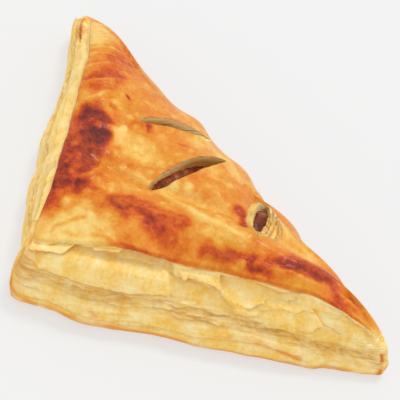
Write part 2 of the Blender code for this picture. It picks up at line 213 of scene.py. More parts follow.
# Leaves drawn at random along each cut side, with the least and the most of each measure
LEAVES = 22
LEAF_STEPS = (0.12, 0.30)
LEAF_FADES = (0.5, 1.6)
SEAM_LEAVES = (-0.085, -0.045, -0.01, 0.03, 0.065)  # leaves that follow the seam, as shares up from it
SEAM_STEP = 0.6
SEAM_FADE = 0.7
RIM_LEAF = (0.965, 0.5, 1.2)  # the leaf right under the lid's edge: share up, step and fade
LEAF_LENGTHS = (0.15, 0.50)
LEAF_EDGE = 0.3
LEAF_END = 0.012  # how softly a leaf ends, as a share along
LEAF_CHANGES = ((0.5, 9, 300),)
DOUGH_GRAIN = ((0.10, 0.6, 91),)
DOUGH_WANDER = ((0.3, 5, 95),)
DOUGH_STRETCH = 6  # how much longer the grain is along the side
# Shade on a cut side: in a patch that lies in, under one that stands out, and under a leaf
PATCH_SHADE = 0.7
LEDGE_SHADE = 0.8
LEAF_SHADE = 0.4
SHADE_REACH = 0.6
# Where a cut side is leafy all over: share up and half width, then share along and half width
LEAFY_UPS = ((0.0, 0.13), (1.0, 0.08))
LEAFY_ENDS = ((0.0, 0.09), (1.0, 0.11))
LEAFY_SEAM = 0.09
SMOOTHNESS = 0.85  # how smooth a cut side is away from these

# Browned marks on the cut sides: paths through points in mm, half width in mm, strength, and how
# red they are
WALL_MARKS = (
    (((51.4, 1.9, 9.6), (57.9, 8.3, 9.4), (60.6, 11.1, 9.3), (63.8, 13.9, 8.4), (67.3, 16.9, 6.6),
      (70.2, 19.6, 5.4)), 1.0, 1.1, 0.15),
    (((21.8, -27.6, 8.6), (23.0, -26.6, 7.2)), 1.0, 1.0, 0.2),
    (((85.4, 40.7, 9.7), (85.9, 40.8, 7.0), (87.0, 40.1, 5.0), (87.2, 39.9, 1.5)), 0.7, 1.2, 0.8),
    (((-2.5, -37.7, 19.2), (-0.1, -37.5, 18.6), (1.8, -37.2, 17.8)), 0.6, 0.8, 0.0),
    (((-1.1, -39.6, 15.6), (1.4, -38.4, 14.6), (4.1, -36.9, 14.0)), 0.6, 0.7, 0.0),
    (((-0.6, -41.0, 11.8), (3.0, -39.6, 11.0)), 0.7, 0.6, 0.0),
    (((0.3, -34.4, 23.5), (2.1, -36.1, 20.5)), 0.6, 0.7, 0.0),
    (((-3.4, -42.0, 7.5), (-1.8, -42.6, 5.8), (1.9, -41.8, 4.0), (4.8, -39.7, 3.0), (10.2, -35.6, 3.0),
      (16.2, -32.3, 3.4), (24.0, -25.9, 3.2), (44.0, -5.0, 1.6)), 1.1, 0.7, 0.0),
    (((50.0, 0.0, 1.2), (76.5, 27.4, 2.8), (79.6, 31.3, 2.0), (81.8, 36.2, 0.8)), 1.0, 0.7, 0.0),
    (((-79.5, 36.4, 17.6), (-75.3, 33.2, 19.6), (-70.9, 30.4, 20.8)), 1.7, 1.3, 0.8),
)
CORNER_TOAST = 0.45
MARK_BROWN = 0.66
RED_GLAZE = 0.7  # how glazed the red marks are
TOAST_SPOTS = 0.12
# The glaze ends at this share of the way up, with a toasted line there and a pale one below it: the top
# leaf's pale cut edge, partly a painted highlight
GLAZE_EDGE = 0.985
GLAZE_WAVER = ((0.005, 5, 77),)
RIM_TOAST = 0.6
RIM_PALENESS = 0.8
FOOT_TOAST_HEIGHT = 0.07
FOOT_TOAST_WAVER = ((0.02, 8, 78),)

# Raised wrinkles of the lid: start, bend and end in plan, height and half width, all in mm
WRINKLES = (
    ((-12, -1), (0, 5), (12, 7.5), 0.8, 1.5),
    ((12, 7.5), (27, 9), (39, 18), 0.9, 1.8),
    ((-12, -1), (-7.5, -9), (-10.5, -16), 0.8, 0.9),
    ((-34, 1), (-38.5, 8), (-33, 19), 0.9, 1.1),
    ((-43, 11), (-41, 18), (-38, 25), 0.7, 0.9),
    ((-50, 15), (-48.5, 21), (-46, 28), 0.6, 0.9),
    ((10, -4.5), (16, -1), (22, 3), 0.6, 0.6),
    ((-30, 2), (-24, 8), (-14, 10), 0.4, 1.2),
    ((44, 12), (52, 20), (64, 31), 0.5, 0.9),
)
WRINKLE_CREST_HIGHLIGHT = 0.22  # how much paler a wrinkle's crest is painted, for each mm of its height: a painted highlight
# The same painted highlight on the ripples' crests; the blisters' tops are painted paler too, partly as a
# painted highlight
RIPPLE_CREST_HIGHLIGHT = 0.36
BLISTER_PALENESS = 0.5
RIPPLE_SPACING = 2.9
RIPPLE_HEIGHT = 0.7
RIPPLE_TURN = 68
RIPPLE_START = (7, 8)  # from where on, by distance from the left tip, and over how long a way
RIPPLE_END = (34, 22)
RIPPLE_WAVER = ((0.5, 8, 44),)
RIPPLE_CHANGES = ((0.5, 5, 45),)
WRINKLE_WARP = (40, 1.2, 0.3)  # seed, and how far the drawing is moved about, coarsely and finely
BROWN_WARP = (70, 0.9, 1.0)
WARP_SIZES = (9, 2.8)
# Blisters under the glaze: place in plan and radius, in mm, and the number drawn at random
BLISTERS = (
    (-9.3, -20.9, 1.8),
    (-5.4, -21.2, 2.0),
    (8.5, 11.5, 2.2),
    (12.4, 14.5, 2.2),
    (20.2, 14.9, 1.4),
    (29.9, 15.2, 1.4),
    (-20.0, 12.0, 1.6),
    (44.6, 12.2, 1.9),
    (47.8, 16.4, 2.2),
    (51.6, 20.6, 1.8),
)
RANDOM_BLISTERS = 90
BLISTER_RADII = (0.7, 1.9)
BLISTER_RISE = 0.2

# The bead and the groove along the right cut side's rim
BEAD_HEIGHT = 1.1
BEAD_INSET = 3.0
BEAD_WIDTH = 1.9
GROOVE_DEPTH = 0.9
GROOVE_INSET = 6.8
GROOVE_WIDTH = 2.0
BEAD_SHARES = (0.30, 0.55, 0.94, 1.0)
BEAD_STRENGTHS = (0.0, 1.0, 1.0, 0.0)
# How the lid hangs down to that rim, by share of the way along
DROOP = 2.2
DROOP_WIDTH = 5.0
DROOP_SHARES = (0.0, 0.08, 0.15, 0.30, 0.40, 0.50, 0.65, 0.75)
DROOP_STRENGTHS = (0.6, 0.45, 0.05, 0.15, 0.9, 1.2, 0.45, 0.0)
BEAD_CHANGES = ((0.45, 6, 51),)
BEAD_WAVER = ((0.7, 7, 52),)

# Browning: patches of the lid as centre, radii and turn in degrees, in mm, and strength
BROWN_BASE = 0.37
BROWN_LIMIT = 0.80  # deeper browning is held back beyond this
BROWN_PATCHES = (
    ((-31.2, 21.7), (1.3, 1.0), 0, 0.45),
    ((-29.1, 14.0), (1.3, 1.0), 0, 0.30),
    ((-20, -11), (22, 8), -45, 0.12),
    ((-10, -7), (10, 7), -45, 0.08),
    ((34, 9.5), (9, 2.6), 40, -0.12),
    ((-15.2, 18.3), (1.8, 1.2), 20, 0.35),
    ((-4.4, 23.6), (2.4, 1.4), 40, 0.25),
    ((12, 11), (9, 3.6), 27, -0.14),
    ((-13.5, 9.5), (12, 4.5), 18, -0.28),
    ((3, -27), (15, 8), 32, -0.34),
    ((42, 33), (13, 6), 12, -0.16),
    ((-68, 34), (15, 8), -25, -0.22),
    ((-1, 36), (20, 5), 0, -0.04),
    ((10, 40), (40, 5), 0, -0.10),
)
# Browned strokes of the lid: path, half width in mm, and strength
BROWN_STROKES = (
    (((-30.0, 6.5), (-26.0, 6.0), (-22.0, 3.0)), 4.7, 0.50),
    (((-22.0, 3.0), (-17.5, -2.5)), 4.6, 0.18),
    (((-32.6, 2.6), (-23.6, -6.7), (-16.4, -14.7), (-10.5, -21.6), (-7.6, -25.4)), 4.0, 0.24),
    (((-20.0, 1.0), (-17.0, -3.0), (-13.6, -8.1), (-9.6, -13.9)), 5.0, 0.16),
    (((-6.1, -14.0), (-0.3, -12.5), (5.1, -10.9)), 3.2, 0.20),
    (((4.8, -9.2), (8.5, -3.3), (15.9, -0.7), (22.6, 2.2)), 3.2, 0.26),
    (((10.1, -8.3), (15.5, -4.4)), 2.8, 0.12),
    (((17.7, -5.2), (22.8, -3.6), (26.7, -2.9)), 2.8, 0.20),
    (((19.3, -10.0), (25.4, -6.5), (30.9, -4.1)), 1.6, 0.04),
    (((-53.0, 36.0), (-44.0, 24.1), (-39.0, 15.6)), 5.5, 0.20),
    (((34.5, 5.2), (38.4, 7.6), (42.4, 10.8), (48.4, 15.8)), 2.6, 0.24),
    (((48.4, 15.8), (54.4, 25.8), (60.4, 36.0)), 3.0, 0.24),
    (((69.1, 32.1), (73.8, 35.9)), 1.8, 0.18),
    (((0.3, -28.5), (1.0, -23.9), (2.3, -19.5)), 0.9, 0.20),
    (((4.0, -26.5), (10.8, -22.0), (19.2, -16.5), (26.4, -10.0)), 0.8, 0.12),
    (((26.3, 23.6), (30.0, 23.0), (34.5, 20.2)), 1.8, 0.32),
)
# Browning along the right cut side's rim, by share of the way along
RIM_BROWN_SHARES = (0.20, 0.38, 0.60, 0.82, 0.93, 1.0)
RIM_BROWNS = (0.0, 0.04, 0.15, 0.20, 0.0, 0.0)
TIP_RAW = 10  # how far the right tip is pale
LEFT_START = 400  # where the run along the left cut side starts, well past the right one's end
RIM_BROWN_INSET = 6.0
RIM_BROWN_WIDTH = 5.0
RIM_BROWN_WAVER = ((1.2, 6, 74),)
LINE_BROWN = 0.12  # along the lid's very edge, and where along the right side it sets in
LINE_BROWN_SHARES = (0.2, 0.36)
BROWN_HOLD = 0.6  # how much of the deeper browning is held back
BASE_BROWN = 0.52
BASE_NOISES = ((0.1, 8, 85),)
VENT_BROWN = 0.4

# The filling and the vents that show it
FILLING_INSETS = (19, 9, 19)
FILLING_ROUNDING = 5
FILLING_POWER = 2.6
FILLING_RIM = 13
LID_THICKNESS = 5
BASE_THICKNESS = 6
CLEARANCE = 0.3
FRUIT_GAP = 0.9  # how far the fruit has sunk under the lid
FRUIT_SWELL = 1.8  # how far round a vent it swells up
VENT_DEPTH = 11
VENT_HEADROOM = 8
VENT_BEND = 0.6  # the share of the depth above which a vent's walls stand steeper
VENT_SPREADS = (0.55, 0.9, 1.2)  # width of a vent at its floor, at that bend and at its top, as shares
VENT_POINTS = 88
VENT_LEVELS = 40
VENT_EDGE = 0.9  # how far round a vent its walls are painted
VENT_SKIN = 0.15  # and from how far down
# Each vent: middle in plan, direction of its length in degrees from X, length and width, how
# pointed its ends are and how blunt its first end is; how shaded and how pale its walls are, the
# paleness partly the dough's own and partly painted light against their shade; towards which end
# a painted shadow lies under the lip; how toasted and how ragged they are; how deep the fruit
# lies in it, and how much deeper towards its second end
Vent = namedtuple("Vent", "middle turn length width point blunt shade pale dark_end toast rag depth slope")
VENTS = (
    Vent((-13.5, 28.5), 60, 25, 4.8, 1.2, 0.1, 0.0, 0.9, -1, 0.15, 0.15, 6, 0),
    Vent((5.5, 19.5), 87, 31, 6.0, 1.4, 0.7, 0.4, 0.2, 1, 0.35, 0.15, 3.4, 1.8),
    Vent((31.9, 29.6), -51, 20, 4.8, 1.2, 0.0, 0.2, 0.6, 0, 0.4, 0.7, 2.0, 0),
)
VENT_LIP = 0.6
VENT_LIP_WIDTH = 1.6
VENT_LEAF = 0.9  # spacing of the leaves that show in a vent's walls
VENT_LEAF_DEPTH = 0.22
# The open vent's raised lip on one side, and the torn strands on the other
OPEN_VENT = VENTS[2]
OPEN_LIP = 0.9
OPEN_LIP_REACH = 2.9
STRAND_REACH = 6.2
STRAND_SPACING = 1.15
STRAND_HEIGHT = 0.3
STRAND_LINES = 5  # how much closer the leaf lines lie there than on the cut sides
TORN_SHADE = 0.45

# Thin torn flaps on the cut sides: side, shares along, shares up at root and tip, lift and curl
FLAPS = (
    (RIGHT, (0.0, 0.14), (0.985, 0.90), 0.9, 0.5),
    (RIGHT, (0.185, 0.275), (0.985, 0.94), 0.5, 0.2),
    (RIGHT, (0.425, 0.565), (0.975, 0.85), 0.7, 0.1),
    (RIGHT, (0.14, 0.24), (0.30, 0.22), 0.35, 0.1),
    (LEFT, (0.15, 0.45), (0.95, 0.82), 0.3, 0.1),
    (LEFT, (0.72, 0.95), (0.95, 0.82), 0.4, 0.2),
)
FLAP_THICKNESS = 0.25
FLAP_CELLS = (44, 12)  # points of its mesh along, and cells down
FLAP_ROOT = 0.6  # how deep its root lies in the crust
FLAP_BROWN = 0.2
FLAP_TOAST = 0.35
FLAP_PLAINNESS = 0.8

LATTICE_CELLS = 32  # random values each way in a block of noise, which repeats
LATTICE_SHIFT = 100.0
LID_CELLS = 216  # mesh cells along each side of the triangle
WALL_ROWS = 92
ROW_TURN = (0.0, 0.25, 1.0)
ROW_UPS = (0.0, 0.33, 1.0)
BASE_RINGS = (0.985, 0.93, 0.8, 0.6)
HOLLOW_CELLS = (60, 10)  # cells round and out from the middle
FRUIT_CELLS = (220, 60)

# The camera, found from the photo's outline
CAMERA_TARGET = (4.6, 26.1, 12)
CAMERA_DISTANCE = 800
CAMERA_AZIMUTH = 46.649
CAMERA_ELEVATION = 48.982
CAMERA_ROLL = 9.484
CAMERA_LENS = 217.75
SENSOR_WIDTH = 36.0

# The studio: an even sky, a soft lamp from behind, and a pale floor that glows a little
SKY_LIGHT = 0.88
LAMP_LIGHT = 1.0
LAMP_WIDTH = 13
LAMP_DIRECTION = (-0.10, 0.62, 1.35)
FLOOR_WIDTH = 6000
FLOOR_TONE = 0.28
FLOOR_GLOW = 0.57
WHITE = (1.0, 1.0, 1.0, 1.0)


class Plan:
    """The triangle seen from above, and distances in it."""

    def __init__(self):
        back = DEPTH / 2
        self.corner = np.array([CORNER_SHIFT, back - DEPTH])
        self.right_tip = np.array([FOLD_LENGTH / 2, back])
        self.left_tip = np.array([-FOLD_LENGTH / 2, back])
        self.ends = (
            (self.corner, self.right_tip),
            (self.right_tip, self.left_tip),
            (self.left_tip, self.corner),
        )
        lengths = np.array([np.linalg.norm(end - start) for start, end in self.ends])
        opposite = np.array([self.left_tip, self.corner, self.right_tip])
        self.middle = (opposite * lengths[:, None]).sum(0) / lengths.sum()
        self.lengths = lengths
        self.along = np.array([(end - start) / size for (start, end), size in zip(self.ends, lengths)])
        self.outward = np.stack([self.along[:, 1], -self.along[:, 0]], 1)
        self.starts = np.array([start for start, _ in self.ends])
        self.inradius = ((self.starts - self.middle) * self.outward).sum(1)[0]

    def depth_inside(self, points, side):
        """Distance in from one side, positive inside."""
        return ((self.starts[side] - points) * self.outward[side]).sum(-1)

    def share_along(self, points, side):
        """Position along one side, from 0 at its start to 1 at its end."""
        share = ((points - self.starts[side]) * self.along[side]).sum(-1) / self.lengths[side]
        return np.clip(share, 0, 1)

    def radius(self, facing, insets, rounding=TIP_ROUNDING):
        """Distance from the middle to the rounded outline whose sides stand in by these insets."""
        total = 0
        for side in range(3):
            towards = np.clip((facing * self.outward[side]).sum(-1), 0, None)
            total = total + (towards / (self.inradius - insets[side])) ** rounding
        return total ** (-1 / rounding)

    def sharp_radius(self, facing):
        """Distance from the middle to the sharp triangle's outline."""
        return 1 / np.max(facing @ self.outward.T / self.inradius, axis=-1)

    def shares(self, facing):
        """Where these directions meet the sharp outline, as a share along each side."""
        border = self.middle + facing * self.sharp_radius(facing)[:, None]
        return [self.share_along(border, side) for side in range(3)]

    def facing(self, side, share):
        """The directions from the middle towards these shares along a side."""
        place = self.starts[side] + self.along[side] * (share * self.lengths[side])[:, None]
        arms = place - self.middle
        return arms / np.linalg.norm(arms, axis=1)[:, None]


PLAN = Plan()


@functools.lru_cache(maxsize=None)
def lattice(seed):
    """A block of random values from -1 to 1."""
    return np.random.default_rng(seed).uniform(-1, 1, [LATTICE_CELLS] * 3)


def lattice_noise(points, size, seed):
    """Smooth random values from -1 to 1 at 3-D points, with bumps of about this size."""
    values = lattice(seed)
    place = np.asarray(points) / size + LATTICE_SHIFT
    low = np.floor(place).astype(int)
    part = place - low
    part = part * part * (3 - 2 * part)
    value = 0
    for corner in np.ndindex(2, 2, 2):
        weight = np.prod([part[..., k] if corner[k] else 1 - part[..., k] for k in range(3)], 0)
        index = (low + corner) % LATTICE_CELLS
        value = value + weight * values[index[..., 0], index[..., 1], index[..., 2]]
    return value


def flat_noise(points, size, seed):
    """The same for 2-D points."""
    lifted = np.concatenate([points, np.zeros(points.shape[:-1] + (1,))], -1)
    return lattice_noise(lifted, size, seed)


def line_noise(place, size, seed):
    """The same for places along a line."""
    return flat_noise(np.stack([place, np.zeros_like(place)], -1), size, seed)


def layers(points, table, seed=0, noise_at=flat_noise):
    """The sum of the noises in a table, with this added to their seeds."""
    return sum(strength * noise_at(points, size, seed + number) for strength, size, number in table)


def axes(turn):
    """The plan direction this many degrees from X, and the one a quarter turn on."""
    along, aside = math.cos(math.radians(turn)), math.sin(math.radians(turn))
    return np.array([along, aside]), np.array([-aside, along])


def stitched(upper, lower):
    """Faces between two rings of points, given as the points' numbers."""
    after = [*range(1, len(upper)), 0]
    return [(upper[n], upper[k], lower[k], lower[n]) for k, n in enumerate(after)]


def bell(distance, width):
    """A smooth hump of height 1."""
    return np.exp(-((distance / width) ** 2))


def smooth(value):
    """A smooth step from 0 at 0 to 1 at 1."""
    part = np.clip(value, 0, 1)
    return part * part * (3 - 2 * part)


def cut_depth(points):
    """Distance in from the nearer cut side, with the turn at the square corner smoothed."""
    right, left = PLAN.depth_inside(points, RIGHT), PLAN.depth_inside(points, LEFT)
    return -CUT_SOFTNESS * np.log(np.exp(-right / CUT_SOFTNESS) + np.exp(-left / CUT_SOFTNESS))


def crease_depth(points):
    """Signed distance from the crease where the filled middle meets the right-hand border."""
    run = PLAN.share_along(points, RIGHT)
    at_tip, at_corner = CREASE_INSETS
    return PLAN.depth_inside(points, RIGHT) - at_tip - (at_corner - at_tip) * (1 - run) ** CREASE_CURVE


def body_height(points):
    """Height of the lid before it rolls over into the folded side."""
    from_right = np.linalg.norm(points - PLAN.right_tip, axis=-1)
    from_left = np.linalg.norm(points - PLAN.left_tip, axis=-1)
    from_corner = np.linalg.norm(points - PLAN.corner, axis=-1)
    rise = (1 - np.exp(-from_right / RISE_LENGTH)) * (1 - np.exp(-from_left / RISE_LENGTH))
    height = TIP_HEIGHT + BODY_RISE * rise
    height = height - CORNER_DROP * bell(from_corner, CORNER_DROP_LENGTH)
    height = height + ROLL_HEIGHT * rise * bell(cut_depth(points) - ROLL_INSET, ROLL_WIDTH)
    across = (points - np.array(DOME_CENTRE)) / np.array(DOME_RADII)
    height = height + DOME_HEIGHT * np.exp(-(across**2).sum(-1))
    crease = crease_depth(points)
    inner = np.clip(PLAN.depth_inside(points, LEFT) / CREASE_START - 1, 0, 1)
    height = height - CREASE_DEPTH * inner * bell(crease - CREASE_WIDTH / 2, CREASE_WIDTH)
    return height + layers(points, LID_WANDER) * rise


def lumps(share, table):
    """How far a side stands out because of its lumps."""
    return sum(size * bell(share - place, width) for place, size, width in table)


def fold_bulge(share):
    """How far the folded side bows out, with the lumps that the filling pushes out."""
    return FOLD_BOW * (1 - (2 * share - 1) ** 2) + lumps(share, FOLD_LUMPS)


def fold_roll(share):
    """Plan depth of the roll along the folded side: it shrinks towards the tips."""
    return FOLD_ROLL * (1 - (1 - FOLD_TIP_SHARE) * (2 * share - 1) ** 4)


def lid_height(points):
    """Height of the smooth lid above the table at these plan points."""
    share = PLAN.share_along(points, FOLD)
    depth = PLAN.depth_inside(points, FOLD) + fold_bulge(share)
    near = 1 - np.clip(depth / fold_roll(share), 0, 1)
    body = body_height(points)
    belly = FOLD_BELLY * body
    return belly + (body - belly) * np.sqrt(1 - near**2)


def arc(start, bend, end, count=24):
    """Points along a curve that starts towards its bend and ends coming from it."""
    share = np.linspace(0, 1, count)[:, None]
    start, bend, end = (np.array(place, float) for place in (start, bend, end))
    return (1 - share) ** 2 * start + 2 * share * (1 - share) * bend + share**2 * end


def path_distance(points, path):
    """Distance of points from a path, and how far along it they lie, from 0 to 1."""
    nearest = np.full(len(points), np.inf)
    place = np.zeros(len(points))
    pieces = len(path) - 1
    for number in range(pieces):
        start, run = path[number], path[number + 1] - path[number]
        share = np.clip(((points - start) * run).sum(1) / (run * run).sum(), 0, 1)
        distance = np.linalg.norm(points - start - share[:, None] * run, axis=1)
        closer = distance < nearest
        nearest[closer] = distance[closer]
        place[closer] = (number + share[closer]) / pieces
    return nearest, place


def warped(points, seed, coarse, fine):
    """Plan points moved about by these distances, so that what is drawn on them is uneven."""
    table = ((coarse, WARP_SIZES[0], 0), (fine, WARP_SIZES[1], 2))
    shift = [layers(points, table, seed + k) for k in range(2)]
    return points + np.stack(shift, -1)


def wrinkle_relief(points):
    """Raised wrinkles of the lid."""
    moved = warped(points, *WRINKLE_WARP)
    height = np.zeros(len(points))
    for start, bend, end, rise, width in WRINKLES:
        distance, place = path_distance(moved, arc(start, bend, end))
        taper = np.sin(math.pi * np.clip(place, 0.02, 0.98)) ** 0.5
        height += rise * taper * bell(distance, width)
    return height


def ripple_relief(points):
    """The ripples near the left tip."""
    _, aside = axes(RIPPLE_TURN)
    wave = -(points @ aside) / RIPPLE_SPACING + layers(points, RIPPLE_WAVER)
    from_tip = np.linalg.norm(points - PLAN.left_tip, axis=1)
    begun, over = (smooth((from_tip - place) / way) for place, way in (RIPPLE_START, RIPPLE_END))
    crest = np.clip(np.cos(2 * math.pi * wave), 0, 1) ** 3
    return RIPPLE_HEIGHT * begun * (1 - over) * crest * (0.7 + layers(points, RIPPLE_CHANGES))


def blister_relief(points):
    """Small blisters under the glaze."""
    random = np.random.default_rng(7)
    spots = [(np.array([x, y]), radius) for x, y, radius in BLISTERS]
    corners = np.array([PLAN.corner, PLAN.right_tip, PLAN.left_tip])
    for _ in range(RANDOM_BLISTERS):
        place = random.dirichlet((1.6, 1.6, 1.6)) @ corners
        spots.append((place, random.uniform(*BLISTER_RADII)))
    height = np.zeros(len(points))
    for place, radius in spots:
        away = np.linalg.norm(points - place, axis=1) / radius
        height += BLISTER_RISE * radius * np.clip(1 - away**2, 0, 1) ** 1.3
    return height


def rim_depth(points):
    """Distance in from the right cut side's rim."""
    share = PLAN.share_along(points, RIGHT)
    return PLAN.depth_inside(points, RIGHT) - np.interp(share, RIM_SHARES, RIGHT_RIM)


def bead_relief(points):
    """The bead along the right cut side's rim with the groove behind it."""
    share = PLAN.share_along(points, RIGHT)
    strength = np.interp(share, BEAD_SHARES, BEAD_STRENGTHS)
    strength = strength * (0.75 + layers(share * PLAN.lengths[RIGHT], BEAD_CHANGES, 0, line_noise))
    depth = rim_depth(points) + layers(points, BEAD_WAVER)
    bead = BEAD_HEIGHT * bell(depth - BEAD_INSET, BEAD_WIDTH)
    return strength * (bead - GROOVE_DEPTH * bell(depth - GROOVE_INSET, GROOVE_WIDTH))


def rim_droop(points):
    """How far the lid hangs down near the right cut side's rim."""
    share = PLAN.share_along(points, RIGHT)
    return DROOP * np.interp(share, DROOP_SHARES, DROOP_STRENGTHS) * bell(rim_depth(points), DROOP_WIDTH)


def vent_place(points, vent):
    """Where points lie by a vent: as a share of its half length from its middle, out from its edge,
    and across from its middle line."""
    direction, side = axes(vent.turn)
    away = points - np.array(vent.middle)
    run = (away @ direction) / (vent.length / 2)
    across = away @ side
    power = vent.point - vent.blunt * np.clip(-run, 0, 1)
    half = vent.width / 2 * np.sqrt(np.clip(1 - run**2, 0, 1)) ** power
    beyond = np.clip(np.abs(run) - 1, 0, None) * vent.length / 2
    return run, np.hypot(np.clip(np.abs(across) - half, 0, None), beyond), across


def torn_strands(points):
    """How much of the torn dough round the open vent shows, how far along it and out, and its waves."""
    run, out, across = vent_place(points, OPEN_VENT)
    fan = STRAND_REACH * bell(run - 0.35, 0.9)
    reach = np.where(across < 0, OPEN_LIP_REACH * bell(run, 1.2), fan)
    reach = reach + 0.6 * flat_noise(points, 2.5, 47)
    wave = out / STRAND_SPACING + 0.8 * flat_noise(np.column_stack([run, out / 3]), 0.5, 48)
    wave = np.sin(2 * math.pi * wave) * smooth(across)
    return smooth((reach - out) / 0.6), run * OPEN_VENT.length / 2, out, wave


def lip_relief(points):
    """The raised lips of the vents, and the strands round the open one."""
    height = sum(VENT_LIP * bell(vent_place(points, vent)[1], VENT_LIP_WIDTH) for vent in VENTS)
    _, out, across = vent_place(points, OPEN_VENT)
    height += OPEN_LIP * bell(out - OPEN_LIP_REACH / 3, OPEN_LIP_REACH / 2) * smooth(0.5 - across / 2)
    share, _, _, wave = torn_strands(points)
    return height + STRAND_HEIGHT * share * wave


def lid_detail(points):
    """Everything that stands up from or sinks into the smooth lid."""
    raised = wrinkle_relief(points) + ripple_relief(points) + blister_relief(points)
    raised = layers(points, LID_GRAIN) + raised + bead_relief(points) + lip_relief(points)
    return raised - rim_droop(points)


def side_shares(facing):
    """How much of the outline in these directions belongs to each side, from 0 to 1."""
    towards = np.clip(facing @ PLAN.outward.T, 0, None) ** TIP_ROUNDING
    return towards / towards.sum(1)[:, None]


def base_insets(facing, share):
    """How far the widest outline stands in from the sharp triangle, side by side."""
    wander = layers(PLAN.middle + facing * PLAN.inradius, SIDE_WANDER)
    bow = RIGHT_BOW * np.sin(math.pi * share[RIGHT] ** RIGHT_BOW_SKEW) + lumps(share[RIGHT], RIGHT_LUMPS)
    return [wander - bow, -fold_bulge(share[FOLD]), wander - lumps(share[LEFT], LEFT_LUMPS)]


def rim_insets(facing, share):
    """The same for the lid's edge."""
    fold = base_insets(facing, share)[FOLD] + FOLD_RIM * fold_roll(share[FOLD])
    right = np.interp(share[RIGHT], RIM_SHARES, RIGHT_RIM)
    return [right, fold, np.interp(share[LEFT], RIM_SHARES, LEFT_RIM)]


def seam_up(side, share):
    """How far up a cut side its seam runs."""
    return np.interp(share, *zip(*SEAMS[side]))


@functools.lru_cache(maxsize=None)
def side_leaves(side):
    """Edges of torn leaves along a cut side: shares along, shares up, step and fade."""
    random = np.random.default_rng(60 + side)
    seam_shares, seam_ups = zip(*SEAMS[side])
    rim_up, *rim_step = RIM_LEAF
    leaves = [((-0.1, 1.1), (rim_up, rim_up), *rim_step)]
    leaves += RIGHT_LEAVES if side == RIGHT else ()
    for offset in SEAM_LEAVES:
        leaves.append((seam_shares, np.array(seam_ups) + offset, SEAM_STEP, SEAM_FADE))
    for _ in range(LEAVES):
        start = random.uniform(-0.15, 0.95)
        length = random.uniform(*LEAF_LENGTHS)
        up = random.uniform(0.04, 0.95)
        ups = (up, up + random.uniform(-0.05, 0.05))
        step = random.uniform(*LEAF_STEPS)
        fade = random.uniform(*LEAF_FADES)
        leaves.append(((start, start + length), ups, step, fade))
    return leaves


def leaf_edges(side, share):
    """Each leaf of a cut side at these shares along it: its edge as a share up with its tear as a
    height, how far it stands out there, and its fade."""
    run = share * PLAN.lengths[side]
    edges = []
    for number, (shares, ups, step, fade) in enumerate(side_leaves(side)):
        tear = layers(run, LEAF_TEARS, number, line_noise)
        ends = smooth((share - shares[0]) / LEAF_END) * smooth((shares[-1] - share) / LEAF_END)
        stand = ends * step * (0.75 + layers(run, LEAF_CHANGES, number, line_noise))
        edges.append((np.interp(share, shares, ups), tear, stand, fade))
    return edges


def patch_edges(side, share):
    """Each patch of a cut side at these shares along it: its floor and roof as shares up, its tear,
    how far inside its ends each point lies, its depth, its smoothness, its shade and its softness."""
    run = share * PLAN.lengths[side]
    edges = []
    for number, (lower, upper, *rest) in enumerate(PATCHES[side]):
        tear = layers(run, PATCH_TEARS, 80 + 10 * side + 3 * number, line_noise)
        floor, roof = np.interp(share, *zip(*lower)), np.interp(share, *zip(*upper))
        within = np.minimum(share - lower[0][0], lower[-1][0] - share) * PLAN.lengths[side]
        edges.append((floor, roof, tear, within, *rest))
    return edges


def leafy_share(ring, side, height):
    """How leafy a cut side is at these heights: most at the seam, the foot, the rim and the ends."""
    share, up = ring.along[side], height / ring.rim_height
    leafy = bell(up - seam_up(side, share), LEAFY_SEAM)
    for place, width in LEAFY_UPS:
        leafy = np.maximum(leafy, bell(up - place, width))
    for place, width in LEAFY_ENDS:
        leafy = np.maximum(leafy, bell(share - place, width))
    return leafy


def side_relief(ring, side, height):
    """Inset of the leaves and patches on a cut side, how far each point lies in shade, and how
    plain it is."""
    inset = np.zeros(len(height))
    shade = np.zeros(len(height))
    plain = SMOOTHNESS * (1 - leafy_share(ring, side, height))
    for floor, roof, tear, within, depth, even, dark, soft in ring.patches[side]:
        above = height - floor * ring.rim_height - tear
        below = roof * ring.rim_height + 0.5 * tear - height
        ends = smooth((within + 0.6 * tear) / PATCH_END)
        mask = smooth(above / soft) * smooth(below / PATCH_END) * ends
        inset += depth * mask
        plain = np.where(mask > 0.5, even, plain)
        shade += dark * mask
        if depth > 0:
            shade += PATCH_SHADE * mask * np.exp(-np.clip(below, 0, None) / (2 * SHADE_REACH + soft))
        else:
            outside = (above < 0) * (within > 0)
            shade += LEDGE_SHADE * outside * np.exp(np.clip(above, None, 0) / SHADE_REACH)
    for number, (up, tear, stand, fade) in enumerate(ring.leaves[side]):
        above = height - up * ring.rim_height - tear
        strength = (1 - plain) * stand if number > len(RIGHT_LEAVES) else stand
        inset -= strength * smooth(above / LEAF_EDGE + 0.5) * np.exp(-np.clip(above, 0, None) / fade)
        dark = LEAF_SHADE * strength / LEAF_STEPS[1]
        shade += dark * (above < 0) * np.exp(np.clip(above, None, 0) / SHADE_REACH)
    run = ring.along[side] * PLAN.lengths[side]
    inset += layers(np.column_stack([run / DOUGH_STRETCH, height]), DOUGH_GRAIN, side) * (1 - plain)
    inset += layers(np.column_stack([run, height]), DOUGH_WANDER, side)
    return inset, np.clip(shade, 0, 1), plain


class Ring:
    """What the sides are worked out from, in each of these directions from the middle."""

    def __init__(self, facing, torn=True):
        self.facing = facing
        self.torn = torn
        self.along = PLAN.shares(facing)
        self.base = base_insets(facing, self.along)
        self.rim = rim_insets(facing, self.along)
        rim_place = PLAN.middle + facing * PLAN.radius(facing, self.rim)[:, None]
        self.nearer = side_shares(facing)
        drop = EDGE_RADIUS * (1 - self.nearer[:, FOLD])
        self.rim_height = lid_height(rim_place) + lid_detail(rim_place) - drop
        self.body = body_height(rim_place)
        if torn:
            self.leaves = {side: leaf_edges(side, self.along[side]) for side in CUT_SIDES}
            self.patches = {side: patch_edges(side, self.along[side]) for side in CUT_SIDES}


